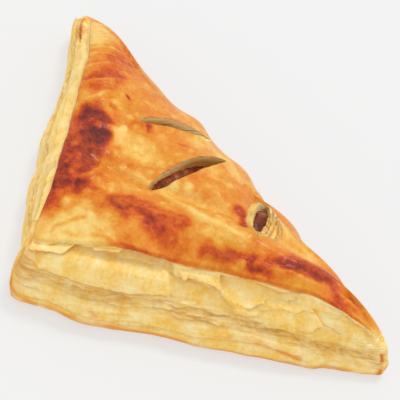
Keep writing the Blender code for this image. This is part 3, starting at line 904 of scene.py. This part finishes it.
def seam_level(side, share, share_up):
    """Share of the way up a cut side, moved so that its seam comes at SEAM_UP."""
    seam = seam_up(side, share)
    above = SEAM_UP + (share_up - seam) / (1 - seam) * (1 - SEAM_UP)
    return np.where(share_up < seam, share_up / seam * SEAM_UP, above)


def wall_place(ring, share_up, lift=0.0):
    """Points on the sides, share_up of the way up and lifted off by a distance, how far in shade
    they lie and how plain they are."""
    height = share_up * ring.rim_height
    belly = FOLD_BELLY * ring.body
    over = np.clip((height - belly) / (ring.body - belly), 0, 1)
    under = np.clip((belly - height) / belly, 0, 1)
    roll = fold_roll(ring.along[FOLD])
    fold_inset = roll * (1 - np.sqrt(1 - over**2)) + FOLD_UNDERCUT * roll * (1 - np.sqrt(1 - under**2))
    insets = [0, ring.base[FOLD] + fold_inset - lift, 0]
    shade = np.zeros(len(height))
    plain = np.zeros(len(height))
    foot_fade, rim_fade = RELIEF_FADES
    fade = smooth(np.minimum(share_up / foot_fade, (1 - share_up) / rim_fade))
    for side in CUT_SIDES:
        level = seam_level(side, ring.along[side], share_up)
        lean = np.interp(level, WALL_SHARES, WALL_LEANS)
        from_tip = 1 - ring.along[side] if side == RIGHT else ring.along[side]
        to_end = np.minimum(ring.along[side], 1 - ring.along[side])
        notch = np.interp(level, WALL_SHARES, WALL_NOTCHES) * smooth(to_end / NOTCH_END + END_SHARE)
        inset = ring.base[side] + (ring.rim[side] - ring.base[side]) * lean + notch
        if ring.torn:
            torn, dark, even = side_relief(ring, side, height)
            inset = inset + torn * fade * smooth(from_tip / RELIEF_END + END_SHARE)
            shade += ring.nearer[:, side] * dark
            plain += ring.nearer[:, side] * even
        insets[side] = inset - lift
    reach = PLAN.radius(ring.facing, insets)
    return np.column_stack([PLAN.middle + ring.facing * reach[:, None], height]), shade, plain


def grid_weights(count):
    """Triangle grid: shares of (corner, right tip, left tip) for each point, and its index."""
    rows = [(i, j) for i in range(count + 1) for j in range(count + 1 - i)]
    index = {cell: number for number, cell in enumerate(rows)}
    shares = np.array([(count - i - j, i, j) for i, j in rows]) / count
    return shares, index


def border_cells(count):
    """Grid cells round the border, anticlockwise from the square corner."""
    right = [(k, 0) for k in range(count)]
    fold = [(count - k, k) for k in range(count)]
    left = [(0, count - k) for k in range(count)]
    return right + fold + left


def lid_points():
    """Points of the lid, the direction of each from the middle, its faces and its border."""
    shares, index = grid_weights(LID_CELLS)
    straight = shares @ np.array([PLAN.corner, PLAN.right_tip, PLAN.left_tip])
    arms = straight - PLAN.middle
    distance = np.linalg.norm(arms, axis=1)
    facing = arms / np.maximum(distance, 1e-9)[:, None]
    sharp = PLAN.sharp_radius(facing)
    outness = distance / sharp
    rim_radius = PLAN.radius(facing, rim_insets(facing, PLAN.shares(facing)))
    plan = PLAN.middle + arms * (1 + (rim_radius / sharp - 1) * outness**2)[:, None]
    to_rim = (1 - outness) * rim_radius * np.max(facing @ PLAN.outward.T, axis=1)
    curl = np.clip(1 - to_rim / EDGE_RADIUS, 0, 1)
    drop = EDGE_RADIUS * (1 - np.sqrt(1 - curl**2)) * (1 - side_shares(facing)[:, FOLD])
    height = lid_height(plan) + lid_detail(plan) - drop
    faces = []
    for i in range(LID_CELLS):
        for j in range(LID_CELLS - i):
            a, b, c = index[i, j], index[i + 1, j], index[i, j + 1]
            faces.append((a, b, c))
            if i + j < LID_CELLS - 1:
                faces.append((b, index[i + 1, j + 1], c))
    border = [index[cell] for cell in border_cells(LID_CELLS)]
    return np.column_stack([plan, height]), facing, to_rim, faces, border


def crust_points():
    """Points, faces and painted values of the closed outside of the crust."""
    points, facing, to_rim, faces, border = lid_points()
    parts = [points]
    values = [lid_paint(points, facing, to_rim)]
    sides = Ring(facing[border])
    for row in range(WALL_ROWS - 1, -1, -1):
        share_up = np.full(len(border), np.interp(row / WALL_ROWS, ROW_TURN, ROW_UPS))
        ring, shade, plain = wall_place(sides, share_up)
        parts.append(ring)
        values.append(wall_paint(ring, sides, share_up, shade, plain))
    foot = parts[-1]
    for size in BASE_RINGS:
        plan = PLAN.middle + (foot[:, :2] - PLAN.middle) * size
        parts.append(np.column_stack([plan, np.zeros(len(plan))]))
        values.append(base_paint(parts[-1]))
    upper, start = border, len(points)
    for ring in parts[1:]:
        lower = range(start, start + len(ring))
        faces += stitched(upper, lower)
        upper, start = lower, start + len(ring)
    faces.append(tuple(reversed(upper)))
    return np.concatenate(parts), faces, np.concatenate(values)


PAINTS = ("brown", "raw", "shade", "toast", "run", "up", "plain", "pale")


def painting(count, **values):
    """Painted values as one row for each point, in the order of PAINTS. What isn't named is 0."""
    return np.column_stack([np.broadcast_to(values.get(name, 0.0), count) for name in PAINTS])


def brown_field(points):
    """How deeply the lid is browned at these plan points."""
    moved = warped(points, *BROWN_WARP)
    brown = BROWN_BASE + layers(points, BROWN_NOISES)
    for centre, radii, turn, strength in BROWN_PATCHES:
        away = moved - np.array(centre)
        run, across = (away @ axis / radius for axis, radius in zip(axes(turn), radii))
        brown = brown + strength * np.exp(-((run**2 + across**2) ** 1.8))
    for path, width, strength in BROWN_STROKES:
        distance, _ = path_distance(moved, np.array(path))
        brown = brown + strength * np.exp(-((distance / width) ** 4))
    share = PLAN.share_along(points, RIGHT)
    depth = rim_depth(points) + layers(points, RIM_BROWN_WAVER)
    rim = np.interp(share, RIM_BROWN_SHARES, RIM_BROWNS)
    brown = brown + rim * bell(depth - RIM_BROWN_INSET, RIM_BROWN_WIDTH)
    return brown - BROWN_HOLD * np.clip(brown - BROWN_LIMIT, 0, None)


def tip_rawness(points):
    """How pale and unglazed the crust is at the right tip, from 0 to 1."""
    away = np.linalg.norm(points[:, :2] - PLAN.right_tip, axis=1)
    return 1 - smooth((away - TIP_RAW + 1.5 * lattice_noise(points, 3, 87)) / 3)


def lid_paint(points, facing, to_rim):
    """Painted values of the lid."""
    plan = points[:, :2]
    # The crests of wrinkles and ripples are painted paler as a painted highlight, and the blisters' tops
    # partly so
    brown = brown_field(plan) - WRINKLE_CREST_HIGHLIGHT * wrinkle_relief(plan)
    brown = brown - RIPPLE_CREST_HIGHLIGHT * ripple_relief(plan) - BLISTER_PALENESS * blister_relief(plan)
    edge = bell(to_rim - 0.3, 0.9) * (1 - side_shares(facing)[:, FOLD])
    begun = np.interp(PLAN.share_along(plan, RIGHT), LINE_BROWN_SHARES, (0.2, 1.0))
    brown = brown + LINE_BROWN * edge * begun
    torn, run, out, wave = torn_strands(plan)
    groove = torn * smooth(-1.5 * wave)
    raw = np.maximum(tip_rawness(points), torn) - 0.5 * groove
    brown = brown + (MARK_BROWN - brown) * torn
    shade = torn * (TORN_SHADE - 0.5 * wave)
    run = np.where(torn > 0, run, plan[:, 0])
    up = np.where(torn > 0, STRAND_LINES * out, points[:, 2])
    return painting(len(plan), brown=brown, raw=raw, shade=shade, run=run, up=up)


def wall_marks(points):
    """Browned marks on the cut sides and how red they are, from 0 up."""
    total = np.zeros(len(points))
    red = np.zeros(len(points))
    rough = 1 + 0.5 * lattice_noise(points, 2.5, 88)
    for path, width, strength, redness in WALL_MARKS:
        distance, _ = path_distance(points, np.array(path))
        mark = strength * bell(distance, width * rough)
        total += mark
        red += redness * mark
    return total, np.clip(red, 0, 1)


def wall_paint(points, ring, share_up, shade, plain):
    """Painted values of a ring round the sides."""
    right_run, left_run = (ring.along[side] * PLAN.lengths[side] for side in CUT_SIDES)
    nearer_right = ring.nearer[:, RIGHT] > ring.nearer[:, LEFT]
    run = np.where(nearer_right, right_run, LEFT_START + left_run)
    glaze = GLAZE_EDGE + layers(run, GLAZE_WAVER, 0, line_noise)
    raw = (1 - smooth(ring.nearer[:, FOLD] * 4 - 2.6)) * (1 - smooth((share_up - glaze) / 0.01))
    raw = np.maximum(raw, tip_rawness(points))
    foot = bell(share_up, FOOT_TOAST_HEIGHT + layers(run, FOOT_TOAST_WAVER, 0, line_noise))
    begun = np.interp(ring.along[RIGHT], LINE_BROWN_SHARES, (0.1, 1.0))
    rim = RIM_TOAST * bell(share_up - glaze, 0.008) * begun
    # The pale line under the glaze's edge: the top leaf's cut edge, partly a painted highlight, with no
    # painted shade on it
    pale = RIM_PALENESS * bell(share_up - glaze + 0.022, 0.012)
    marks, red = wall_marks(points)
    at_corner = bell(ring.along[RIGHT], 0.05) * bell(1 - ring.along[LEFT], 0.05)
    spots = TOAST_SPOTS * lattice_noise(points, 3, 79)
    toast = np.clip(foot + rim + CORNER_TOAST * at_corner + spots + marks, 0, 1)
    brown = brown_field(points[:, :2]) * 0.5 + 0.2 + 0.2 * bell(share_up, 0.25)
    return painting(
        len(points),
        brown=brown + (MARK_BROWN - brown) * red,
        raw=raw - RED_GLAZE * red,
        shade=shade * (1 - pale),
        toast=toast,
        run=run,
        up=points[:, 2],
        plain=plain,
        pale=pale,
    )


def base_paint(points):
    """Painted values of the flat base."""
    brown = BASE_BROWN + layers(points[:, :2], BASE_NOISES)
    return painting(len(points), brown=brown, run=points[:, 0], up=points[:, 1])


def mesh_object(name, points, faces, colour):
    """An object from points and faces, shaded smooth, with its faces turned outwards."""
    mesh = bpy.data.meshes.new(name)
    mesh.from_pydata((np.asarray(points) * MM).tolist(), [], faces)
    shape = bmesh.new()
    shape.from_mesh(mesh)
    bmesh.ops.triangulate(shape, faces=[face for face in shape.faces if len(face.verts) > 4])
    bmesh.ops.recalc_face_normals(shape, faces=shape.faces)
    shape.to_mesh(mesh)
    shape.free()
    mesh.shade_smooth()
    mesh.materials.append(colour)
    made = bpy.data.objects.new(name, mesh)
    bpy.context.scene.collection.objects.link(made)
    return made


def filling_object(name, clearance, cells, lumpy, colour):
    """The filling, or with a clearance the hollow that it lies in, between lid and base."""
    turn_count, ring_count = cells
    turns = np.linspace(0, 2 * math.pi, turn_count, endpoint=False)
    facing = np.column_stack([np.cos(turns), np.sin(turns)])
    insets = [inset - clearance for inset in FILLING_INSETS]
    reach = PLAN.radius(facing, insets, FILLING_ROUNDING)

    def ring(step, upper):
        """A ring on the upper or lower skin, from the middle out to the edge."""
        out = math.sin(math.pi / 2 * step / ring_count)
        place = PLAN.middle + facing * reach[:, None] * out
        swell = (1 - out**FILLING_POWER) ** (1 / FILLING_POWER)
        cover = lid_height(place) - LID_THICKNESS + clearance
        skin = cover if upper else np.full(turn_count, BASE_THICKNESS - clearance)
        level = FILLING_RIM + (skin - FILLING_RIM) * swell
        if lumpy and upper:
            level = with_fruit(place, level)
        return np.column_stack([place, level])

    rings = [ring(step, True) for step in range(1, ring_count + 1)]
    rings += [ring(step, False) for step in range(ring_count - 1, 0, -1)]
    points = np.concatenate([ring(0, True)[:1], *rings, ring(0, False)[:1]])
    last = len(points) - 1
    bands = [range(1 + level * turn_count, 1 + (level + 1) * turn_count) for level in range(len(rings))]
    faces = []
    for k in range(turn_count):
        after = (k + 1) % turn_count
        faces.append((0, bands[0][k], bands[0][after]))
        faces.append((last, bands[-1][after], bands[-1][k]))
    for inner, outer in zip(bands, bands[1:]):
        faces += stitched(outer, inner)
    return mesh_object(name, points, [tuple(face) for face in faces], colour)


def with_fruit(place, level):
    """The filling's upper skin with lumps of fruit, a little low, but swelling into the vents."""
    level = level - FRUIT_GAP
    for vent in VENTS:
        run, out, _ = vent_place(place, vent)
        surface = lid_height(place) - vent.depth - vent.slope * run
        level = level + (surface - level) * bell(out, FRUIT_SWELL)
    return level + layers(place, FRUIT_LUMPS)


def vent_cutter(number, vent, colour):
    """A tapered lens that opens one vent down to the filling, with the dough's leaves in its wall."""
    lid = lid_height(np.array([vent.middle]))[0]
    floor, top = lid - VENT_DEPTH, lid + VENT_HEADROOM
    direction, side = axes(vent.turn)
    turns = np.linspace(0, 2 * math.pi, VENT_POINTS, endpoint=False)
    swing = np.sin(turns)
    swell = np.sign(swing) * np.abs(swing) ** (vent.point - vent.blunt * np.clip(-np.cos(turns), 0, 1))
    rings = []
    for height in np.linspace(floor, top, VENT_LEVELS):
        spread = np.interp(height, (floor, floor + VENT_BEND * VENT_DEPTH, top), VENT_SPREADS)
        run = vent.length / 2 * np.cos(turns) * (0.8 + 0.2 * spread)
        across = vent.width / 2 * spread * swell
        plan = np.array(vent.middle) + direction * run[:, None] + side * across[:, None]
        solid = np.column_stack([plan, np.full(VENT_POINTS, height)])
        leaf = np.sin(2 * math.pi * (height / VENT_LEAF + 0.5 * lattice_noise(solid, 5, 110)))
        relief = VENT_LEAF_DEPTH * leaf * smooth((lid - height) / 1.5)
        relief = (relief + vent.rag * lattice_noise(solid, 1.8, 111)) * np.abs(swing)
        solid[:, :2] += side * (np.sign(swing) * relief)[:, None]
        rings.append(solid)
    bands = [range(level * VENT_POINTS, (level + 1) * VENT_POINTS) for level in range(VENT_LEVELS)]
    faces = [tuple(reversed(bands[0])), tuple(bands[-1])]
    for low, high in zip(bands, bands[1:]):
        faces += stitched(high, low)
    return mesh_object(f"vent_cutter_{number}", np.concatenate(rings), faces, colour)


def cut_away(target, cutters):
    """Takes the cutters' shapes out of the target and removes them."""
    for cutter in cutters:
        step = target.modifiers.new(cutter.name, "BOOLEAN")
        step.operation = "DIFFERENCE"
        step.solver = "EXACT"
        step.object = cutter
    shaped = bpy.data.meshes.new_from_object(target.evaluated_get(bpy.context.evaluated_depsgraph_get()))
    target.modifiers.clear()
    old, target.data = target.data, shaped
    bpy.data.meshes.remove(old)
    for cutter in cutters:
        bpy.data.objects.remove(cutter)


def mesh_points(mesh):
    """The mesh's points as an array."""
    flat = np.empty(len(mesh.vertices) * 3, np.float32)
    mesh.vertices.foreach_get("co", flat)
    return flat.reshape(-1, 3).astype(float) / MM


def paint(mesh, values):
    """Stores the painted values, one row for each point, for the material to read."""
    for name, column in zip(PAINTS, values.T):
        layer = mesh.attributes.new(name, "FLOAT", "POINT")
        layer.data.foreach_set("value", np.ascontiguousarray(column, dtype=np.float32))


def vent_paint(vent, run, points, depth):
    """Painted values of a vent's walls, with a painted shadow under the lip towards its dark end, and
    paleness that is partly painted light against their shade.
    """
    # A painted shadow under the lip, added to the walls' painted shade
    painted_lip_shadow = abs(vent.dark_end) * bell(depth - 3, 2) * smooth(0.6 + vent.dark_end * run)
    shade = vent.shade * np.clip(0.4 + depth / 8, 0, 1) + painted_lip_shadow
    toast = vent.toast * smooth((depth - 1.5) / 3)
    return painting(
        len(points),
        brown=VENT_BROWN,
        raw=1.0,
        shade=shade,
        toast=toast,
        run=points[:, 1],
        up=2 * points[:, 2],
        pale=vent.pale * (1 - painted_lip_shadow),
    )


def paint_crust(crust, points, values):
    """Carries the painted values over to the cut mesh and paints the vents' walls."""
    tree = KDTree(len(points))
    for number, point in enumerate(points):
        tree.insert(point, number)
    tree.balance()
    placed = mesh_points(crust.data)
    carried = values[[tree.find(point)[1] for point in placed]]
    plan = placed[:, :2]
    depth = lid_height(plan) + lid_detail(plan) - placed[:, 2]
    for vent in VENTS:
        run, out, _ = vent_place(plan, vent)
        inside = (out < VENT_EDGE) & (depth > VENT_SKIN) & (depth < VENT_DEPTH + 2)
        carried[inside] = vent_paint(vent, run[inside], placed[inside], depth[inside])
    paint(crust.data, carried)


def flap_points(side, shares, ups, lift, curl, seed):
    """A thin torn flap that stands off a cut side: its points and faces, closed all round."""
    across, down = FLAP_CELLS
    share = np.linspace(*shares, across)
    part = np.linspace(0, 1, across)
    run = share * PLAN.lengths[side]
    taper = smooth(np.minimum(part, 1 - part) / 0.16)
    drop = (ups[1] - ups[0]) * taper * (1 + layers(run, FLAP_TEARS, seed, line_noise))
    ring = Ring(PLAN.facing(side, share), torn=False)
    skins = []
    for depth in (0.0, FLAP_THICKNESS):
        rows = []
        for step in range(down + 1):
            down_share = step / down
            wave = 0.35 * line_noise(run, 4, seed + 2) * down_share
            stand = (lift * taper + FLAP_ROOT) * smooth(down_share * 1.5) - FLAP_ROOT + wave
            stand = stand + curl * taper * down_share**3
            thin = depth * (1 - 0.6 * down_share)
            up = ups[0] + drop * down_share
            rows.append(wall_place(ring, up, stand - thin)[0])
        skins.append(rows)
    points = np.concatenate(skins[0] + skins[1])
    size = across * (down + 1)
    faces = []
    for row in range(down):
        for k in range(across - 1):
            a, b = row * across + k, row * across + k + 1
            c, d = b + across, a + across
            faces.append((a, d, c, b))
            faces.append((size + a, size + b, size + c, size + d))
    edge = list(range(across))
    edge += [row * across + across - 1 for row in range(1, down + 1)]
    edge += [down * across + k for k in range(across - 2, -1, -1)]
    edge += [row * across for row in range(down - 1, 0, -1)]
    for point, after in zip(edge, edge[1:] + edge[:1]):
        faces.append((point, after, size + after, size + point))
    tip = np.tile(np.repeat(np.arange(down + 1) / down, across), 2)
    along = np.tile(np.tile(run, down + 1), 2)
    return points, faces, tip, along


def flake_object(colour):
    """All the torn flaps, as one piece."""
    parts, faces, tips, runs = [], [], [], []
    start = 0
    for number, flap in enumerate(FLAPS):
        points, flap_faces, tip, along = flap_points(*flap, seed=130 + 5 * number)
        parts.append(points)
        faces += [tuple(start + corner for corner in face) for face in flap_faces]
        tips.append(tip)
        runs.append(along)
        start += len(points)
    points = np.concatenate(parts)
    made = mesh_object("torn_flaps", points, faces, colour)
    values = painting(
        len(points),
        brown=FLAP_BROWN,
        raw=1.0,
        toast=FLAP_TOAST * smooth((np.concatenate(tips) - 0.7) / 0.3),
        run=np.concatenate(runs),
        up=points[:, 2],
        plain=FLAP_PLAINNESS,
    )
    paint(made.data, values)
    return made


class Field:
    """A value that varies over a surface. Its sums, differences and products become Math nodes."""

    def __init__(self, tree, socket):
        self.tree = tree
        self.socket = socket

    def result(self, operation, first, second=0.0):
        """The field that a Math node makes from two values."""
        made = add_node(self.tree, "ShaderNodeMath", {0: first, 1: second}, operation=operation)
        return Field(self.tree, made.outputs[0])

    def __add__(self, other):
        return self.result("ADD", self, other)

    def __sub__(self, other):
        return self.result("SUBTRACT", self, other)

    def __rsub__(self, other):
        return self.result("SUBTRACT", other, self)

    def __mul__(self, other):
        return self.result("MULTIPLY", self, other)

    def __abs__(self):
        return self.result("ABSOLUTE", self)

    def clamped(self):
        """The same field, held between 0 and 1."""
        self.socket.node.use_clamp = True
        return self


def fill(tree, node, inputs):
    """Sets a node's inputs, by name or number, or links them where a field or socket is given."""
    for name, value in inputs.items():
        source = value.socket if isinstance(value, Field) else value
        if isinstance(source, bpy.types.NodeSocket):
            tree.links.new(source, node.inputs[name])
        else:
            node.inputs[name].default_value = source


def add_node(tree, kind, inputs=None, **settings):
    """A shader node with its settings and its inputs."""
    made = tree.nodes.new(kind)
    for name, value in settings.items():
        setattr(made, name, value)
    fill(tree, made, inputs or {})
    return made


def painted(tree, name):
    """A painted value of the mesh, as a field."""
    return Field(tree, add_node(tree, "ShaderNodeAttribute", attribute_name=name).outputs["Fac"])


def srgb(red, green, blue):
    """A colour given as it looks on a screen, from 0 to 255, as linear light."""
    parts = [value / 255 for value in (red, green, blue)]
    return [part / 12.92 if part <= 0.04045 else ((part + 0.055) / 1.055) ** 2.4 for part in parts] + [1.0]


def ramp(tree, value, stops):
    """A colour ramp through stops of (position, colour)."""
    made = add_node(tree, "ShaderNodeValToRGB", {"Fac": value})
    elements = made.color_ramp.elements
    while len(elements) < len(stops):
        elements.new(1.0)
    for element, (position, colour) in zip(elements, stops):
        element.position = position
        element.color = srgb(*colour)
    return made.outputs["Color"]


def noise(tree, place, scale, detail=3.0, roughness=0.55):
    """A noise pattern around zero, as a field."""
    inputs = {"Vector": place, "Scale": scale, "Detail": detail, "Roughness": roughness}
    return Field(tree, add_node(tree, "ShaderNodeTexNoise", inputs).outputs["Fac"]) - 0.5


def side_noise(tree, along, across, turn, detail=3.0):
    """The same on the cut sides, with this many changes a millimetre along and across them."""
    spot = {"X": painted(tree, "run") * along, "Y": painted(tree, "up") * across, "Z": turn}
    return noise(tree, add_node(tree, "ShaderNodeCombineXYZ", spot).outputs[0], 1.0, detail)


def mixed(tree, share, first, second):
    """Two colours mixed by a share."""
    return add_node(tree, "ShaderNodeMix", {0: share, 6: first, 7: second}, data_type="RGBA").outputs[2]


def bumps(tree, height, strength, distance):
    """The surface's direction with small bumps of this height."""
    inputs = {"Height": height, "Strength": strength, "Distance": distance}
    return add_node(tree, "ShaderNodeBump", inputs).outputs["Normal"]


LID_STOPS = (
    (0.00, (241, 206, 124)),
    (0.16, (237, 184, 92)),
    (0.34, (227, 145, 50)),
    (0.50, (219, 114, 28)),
    (0.64, (200, 79, 26)),
    (0.78, (164, 56, 30)),
    (0.90, (122, 44, 34)),
    (1.00, (92, 36, 32)),
)
YELLOW_STOPS = (
    (0.00, (243, 214, 124)),
    (0.16, (236, 192, 86)),
    (0.34, (224, 157, 44)),
    (0.50, (214, 130, 28)),
    (0.64, (194, 92, 26)),
    (0.78, (156, 62, 30)),
    (1.00, (108, 40, 34)),
)
WALL_STOPS = (
    (0.00, (255, 237, 180)),
    (0.40, (254, 221, 140)),
    (0.70, (252, 204, 98)),
    (1.00, (246, 184, 70)),
)


def new_material(name):
    """An empty Principled material: its tree and its shader."""
    made = bpy.data.materials.new(name)
    made.use_nodes = True
    return made, made.node_tree, made.node_tree.nodes["Principled BSDF"]


# Noise patterns of the crust, as changes a metre
HUE_SCALE = 95.0
CLOUD_SCALE = 160.0
PATCH_SCALE = 190.0
BROAD_SCALE = 230.0
SPECK_SCALE = 480.0
FINE_SCALE = 900.0
GRAIN_SCALE = 2600.0
# Patterns on the cut sides, as changes a millimetre along and across, and a turn of the noise
LINE_SCALES = ((0.016, 0.19, 0.0), (0.034, 0.4, 7.0))
FIBRE_SCALES = (0.15, 1.1, 3.0)
MOTTLE_SCALES = (0.42, 0.13, 3.0)
LINE_SHARPNESS = 34.0
# Specks that are stretched along the right rim: the direction in radians, and their size in metres
SPECK_TURN = (0.0, 0.0, 0.745)
SPECK_SIZE = (0.009, 0.0018, 0.003)
# Colours that are laid over the cut sides: painted shade, painted shade in the gaps along the leaves'
# edges, paleness that in the vents is partly painted light, and toast
SHADE_COLOUR = (204, 150, 80)
LEAF_GAP_SHADE_COLOUR = (212, 158, 88)
PALE_COLOUR = (255, 236, 186)
TOAST_COLOUR = (236, 148, 48)
# Noise patterns of the fruit, as changes a metre
LUMP_SCALE = 260.0
PULP_SCALE = 1100.0
FRUIT_STOPS = (
    (0.00, (66, 20, 6)),
    (0.40, (116, 44, 16)),
    (0.65, (152, 76, 34)),
    (1.00, (190, 122, 70)),
)


def leaf_lines(tree, place):
    """Thin wandering lines where the edges of the dough's leaves show, from 0 to 1: grooves in the bumps,
    and painted shade in the gaps between the leaves.
    """
    coarse, close = [
        (1.0 - abs(side_noise(tree, *scales, 2.0)) * LINE_SHARPNESS).clamped() for scales in LINE_SCALES
    ]
    patchy = (noise(tree, place, PATCH_SCALE, 2.0) * 4.0 + 0.55).clamped()
    bare = (1.0 - painted(tree, "plain")).clamped()
    return coarse.result("MAXIMUM", coarse, close) * patchy * bare


def lid_colour(tree, place, fine, grain):
    """The glazed lid, as brown as it is painted, with specks along the right rim."""
    stretch = {"Vector": place, "Rotation": SPECK_TURN, "Scale": SPECK_SIZE}
    along_rim = add_node(tree, "ShaderNodeMapping", stretch, vector_type="TEXTURE").outputs[0]
    specks = noise(tree, place, SPECK_SCALE, 4.0, 0.7) + noise(tree, along_rim, 1.0) * 0.6
    brown = painted(tree, "brown") + noise(tree, place, BROAD_SCALE) * 0.34 + fine * 0.24
    brown = brown + specks * 0.6 * brown + grain * 0.06
    hue = (noise(tree, place, HUE_SCALE) * 2.4 + 0.12).clamped()
    return mixed(tree, hue, ramp(tree, brown, LID_STOPS), ramp(tree, brown, YELLOW_STOPS))


def wall_colour(tree, place, fine, fibres, lines):
    """The cut dough: mottled, darker with painted shade in its recesses and along the gaps at its leaves'
    edges, paler in places, which in the vents is partly painted light, and toasted in places.
    """
    cloud = noise(tree, place, CLOUD_SCALE)
    mottle = side_noise(tree, *MOTTLE_SCALES)
    wall = ramp(tree, fine * 0.8 + cloud * 1.4 + fibres * 0.3 + mottle * 0.8 + 0.43, WALL_STOPS)
    layers = (
        ((painted(tree, "shade") * 0.75).clamped(), SHADE_COLOUR),
        ((lines * 0.6).clamped(), LEAF_GAP_SHADE_COLOUR),
        (painted(tree, "pale"), PALE_COLOUR),
        ((painted(tree, "toast") * 0.9).clamped(), TOAST_COLOUR),
    )
    for share, colour in layers:
        wall = mixed(tree, share, wall, srgb(*colour))
    return wall


def crust_material():
    """Baked puff pastry: glazed and browned on the lid, pale and leafy where it was cut."""
    made, tree, shader = new_material("baked_puff_pastry")
    place = add_node(tree, "ShaderNodeTexCoord").outputs["Object"]
    fine = noise(tree, place, FINE_SCALE)
    grain = noise(tree, place, GRAIN_SCALE)
    fibres = side_noise(tree, *FIBRE_SCALES)
    lines = leaf_lines(tree, place)
    raw = painted(tree, "raw")
    lid_bump = fine + grain * 0.4
    wall_bump = fine * 0.5 - lines * 0.7 + fibres * 0.4
    height = add_node(tree, "ShaderNodeMix", {0: raw, 2: lid_bump, 3: wall_bump}).outputs[0]
    wall = wall_colour(tree, place, fine, fibres, lines)
    looks = {
        "Base Color": mixed(tree, raw, lid_colour(tree, place, fine, grain), wall),
        "Coat Weight": ((1.0 - raw) * 0.14).clamped(),
        "Coat Roughness": 0.16,
        "Specular IOR Level": 0.12,
        "Roughness": (raw * 0.30 + 0.42 + fine * 0.35).clamped(),
        "Subsurface Weight": 0.08,
        "Subsurface Radius": (0.004, 0.002, 0.001),
        "Normal": bumps(tree, height, 0.7, 0.0005),
    }
    fill(tree, shader, looks)
    return made


def fruit_material():
    """Cooked dark fruit, wet and translucent."""
    made, tree, shader = new_material("cooked_fruit")
    place = add_node(tree, "ShaderNodeTexCoord").outputs["Object"]
    fine = noise(tree, place, PULP_SCALE)
    looks = {
        "Base Color": ramp(tree, noise(tree, place, LUMP_SCALE) * 1.6 + fine * 0.9 + 0.5, FRUIT_STOPS),
        "Specular IOR Level": 0.2,
        "Coat Weight": 0.06,
        "Coat Roughness": 0.15,
        "Roughness": fine * 0.3 + 0.35,
        "Subsurface Weight": 0.15,
        "Subsurface Radius": (0.004, 0.001, 0.001),
        "Normal": bumps(tree, fine, 0.6, 0.0006),
    }
    fill(tree, shader, looks)
    return made


def floor_material():
    """A plain pale floor."""
    made, tree, shader = new_material("pale_floor")
    looks = {
        "Base Color": (FLOOR_TONE, FLOOR_TONE, FLOOR_TONE, 1.0),
        "Roughness": 0.9,
        "Specular IOR Level": 0.0,
        "Emission Color": WHITE,
        "Emission Strength": FLOOR_GLOW,
    }
    fill(tree, shader, looks)
    return made


def make_floor():
    """A wide flat floor under the pastry."""
    half = FLOOR_WIDTH / 2
    corners = [(-half, -half, 0), (half, -half, 0), (half, half, 0), (-half, half, 0)]
    floor = mesh_object("floor", corners, [(0, 1, 2, 3)], floor_material())


def make_lights():
    """An even white sky, and a wide soft lamp from above and behind."""
    world = bpy.data.worlds.new("studio")
    world.use_nodes = True
    sky = world.node_tree.nodes["Background"]
    fill(world.node_tree, sky, {"Color": WHITE, "Strength": SKY_LIGHT})
    bpy.context.scene.world = world
    lamp = bpy.data.lights.new("softbox", "SUN")
    lamp.energy = LAMP_LIGHT
    lamp.angle = math.radians(LAMP_WIDTH)
    made = bpy.data.objects.new("softbox", lamp)
    direction = Vector(LAMP_DIRECTION)
    made.rotation_mode = "QUATERNION"
    made.rotation_quaternion = direction.to_track_quat("Z", "Y")
    bpy.context.scene.collection.objects.link(made)
    bpy.context.scene.view_settings.view_transform = "Standard"


def make_camera():
    """The photo's camera: its place round the pastry, its roll and its lens."""
    azimuth, elevation, roll = map(math.radians, (CAMERA_AZIMUTH, CAMERA_ELEVATION, CAMERA_ROLL))
    level = Vector((math.cos(azimuth), math.sin(azimuth), 0))
    away = Vector((level.y, -level.x, 0))
    back = away * math.cos(elevation) + Vector((0, 0, 1)) * math.sin(elevation)
    above = back.cross(level)
    right = level * math.cos(roll) + above * math.sin(roll)
    up = above * math.cos(roll) - level * math.sin(roll)
    data = bpy.data.cameras.new("camera")
    data.lens = CAMERA_LENS
    data.sensor_width = SENSOR_WIDTH
    made = bpy.data.objects.new("camera", data)
    place = (Vector(CAMERA_TARGET) + back * CAMERA_DISTANCE) * MM
    made.matrix_world = Matrix.Translation(place) @ Matrix((right, up, back)).transposed().to_4x4()
    bpy.context.scene.collection.objects.link(made)
    bpy.context.scene.camera = made


def move_to_frame(pieces, crust):
    """Moves the meshes so that the crust's box is centred where the CAD's pastry is."""
    low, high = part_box("pastry")
    points = mesh_points(crust.data)
    shift = (low + high) / 2 - Vector((points.min(0) + points.max(0)) / 2) * MM
    shift.z = 0
    for piece in pieces:
        piece.data.transform(Matrix.Translation(shift))


def main():
    """Makes the three pieces, attaches them to the root body and hides the CAD's pastry and filling."""
    pastry = crust_material()
    fruit = fruit_material()
    points, faces, values = crust_points()
    crust = mesh_object("crust", points, faces, pastry)
    hollow = filling_object("hollow", CLEARANCE, HOLLOW_CELLS, False, fruit)
    cutters = [vent_cutter(number, vent, fruit) for number, vent in enumerate(VENTS)]
    cut_away(crust, [hollow, *cutters])
    crust.data.materials.clear()
    crust.data.materials.append(pastry)
    paint_crust(crust, points, values)
    filling = filling_object("fruit_filling", 0.0, FRUIT_CELLS, True, fruit)
    flakes = flake_object(pastry)
    move_to_frame([crust, filling, flakes], crust)
    for piece, slot in ((crust, "crust"), (flakes, "crust"), (filling, "fruit")):
        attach(piece, "root")
    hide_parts("pastry")
    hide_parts("filling")


main()
make_floor()
make_lights()
make_camera()
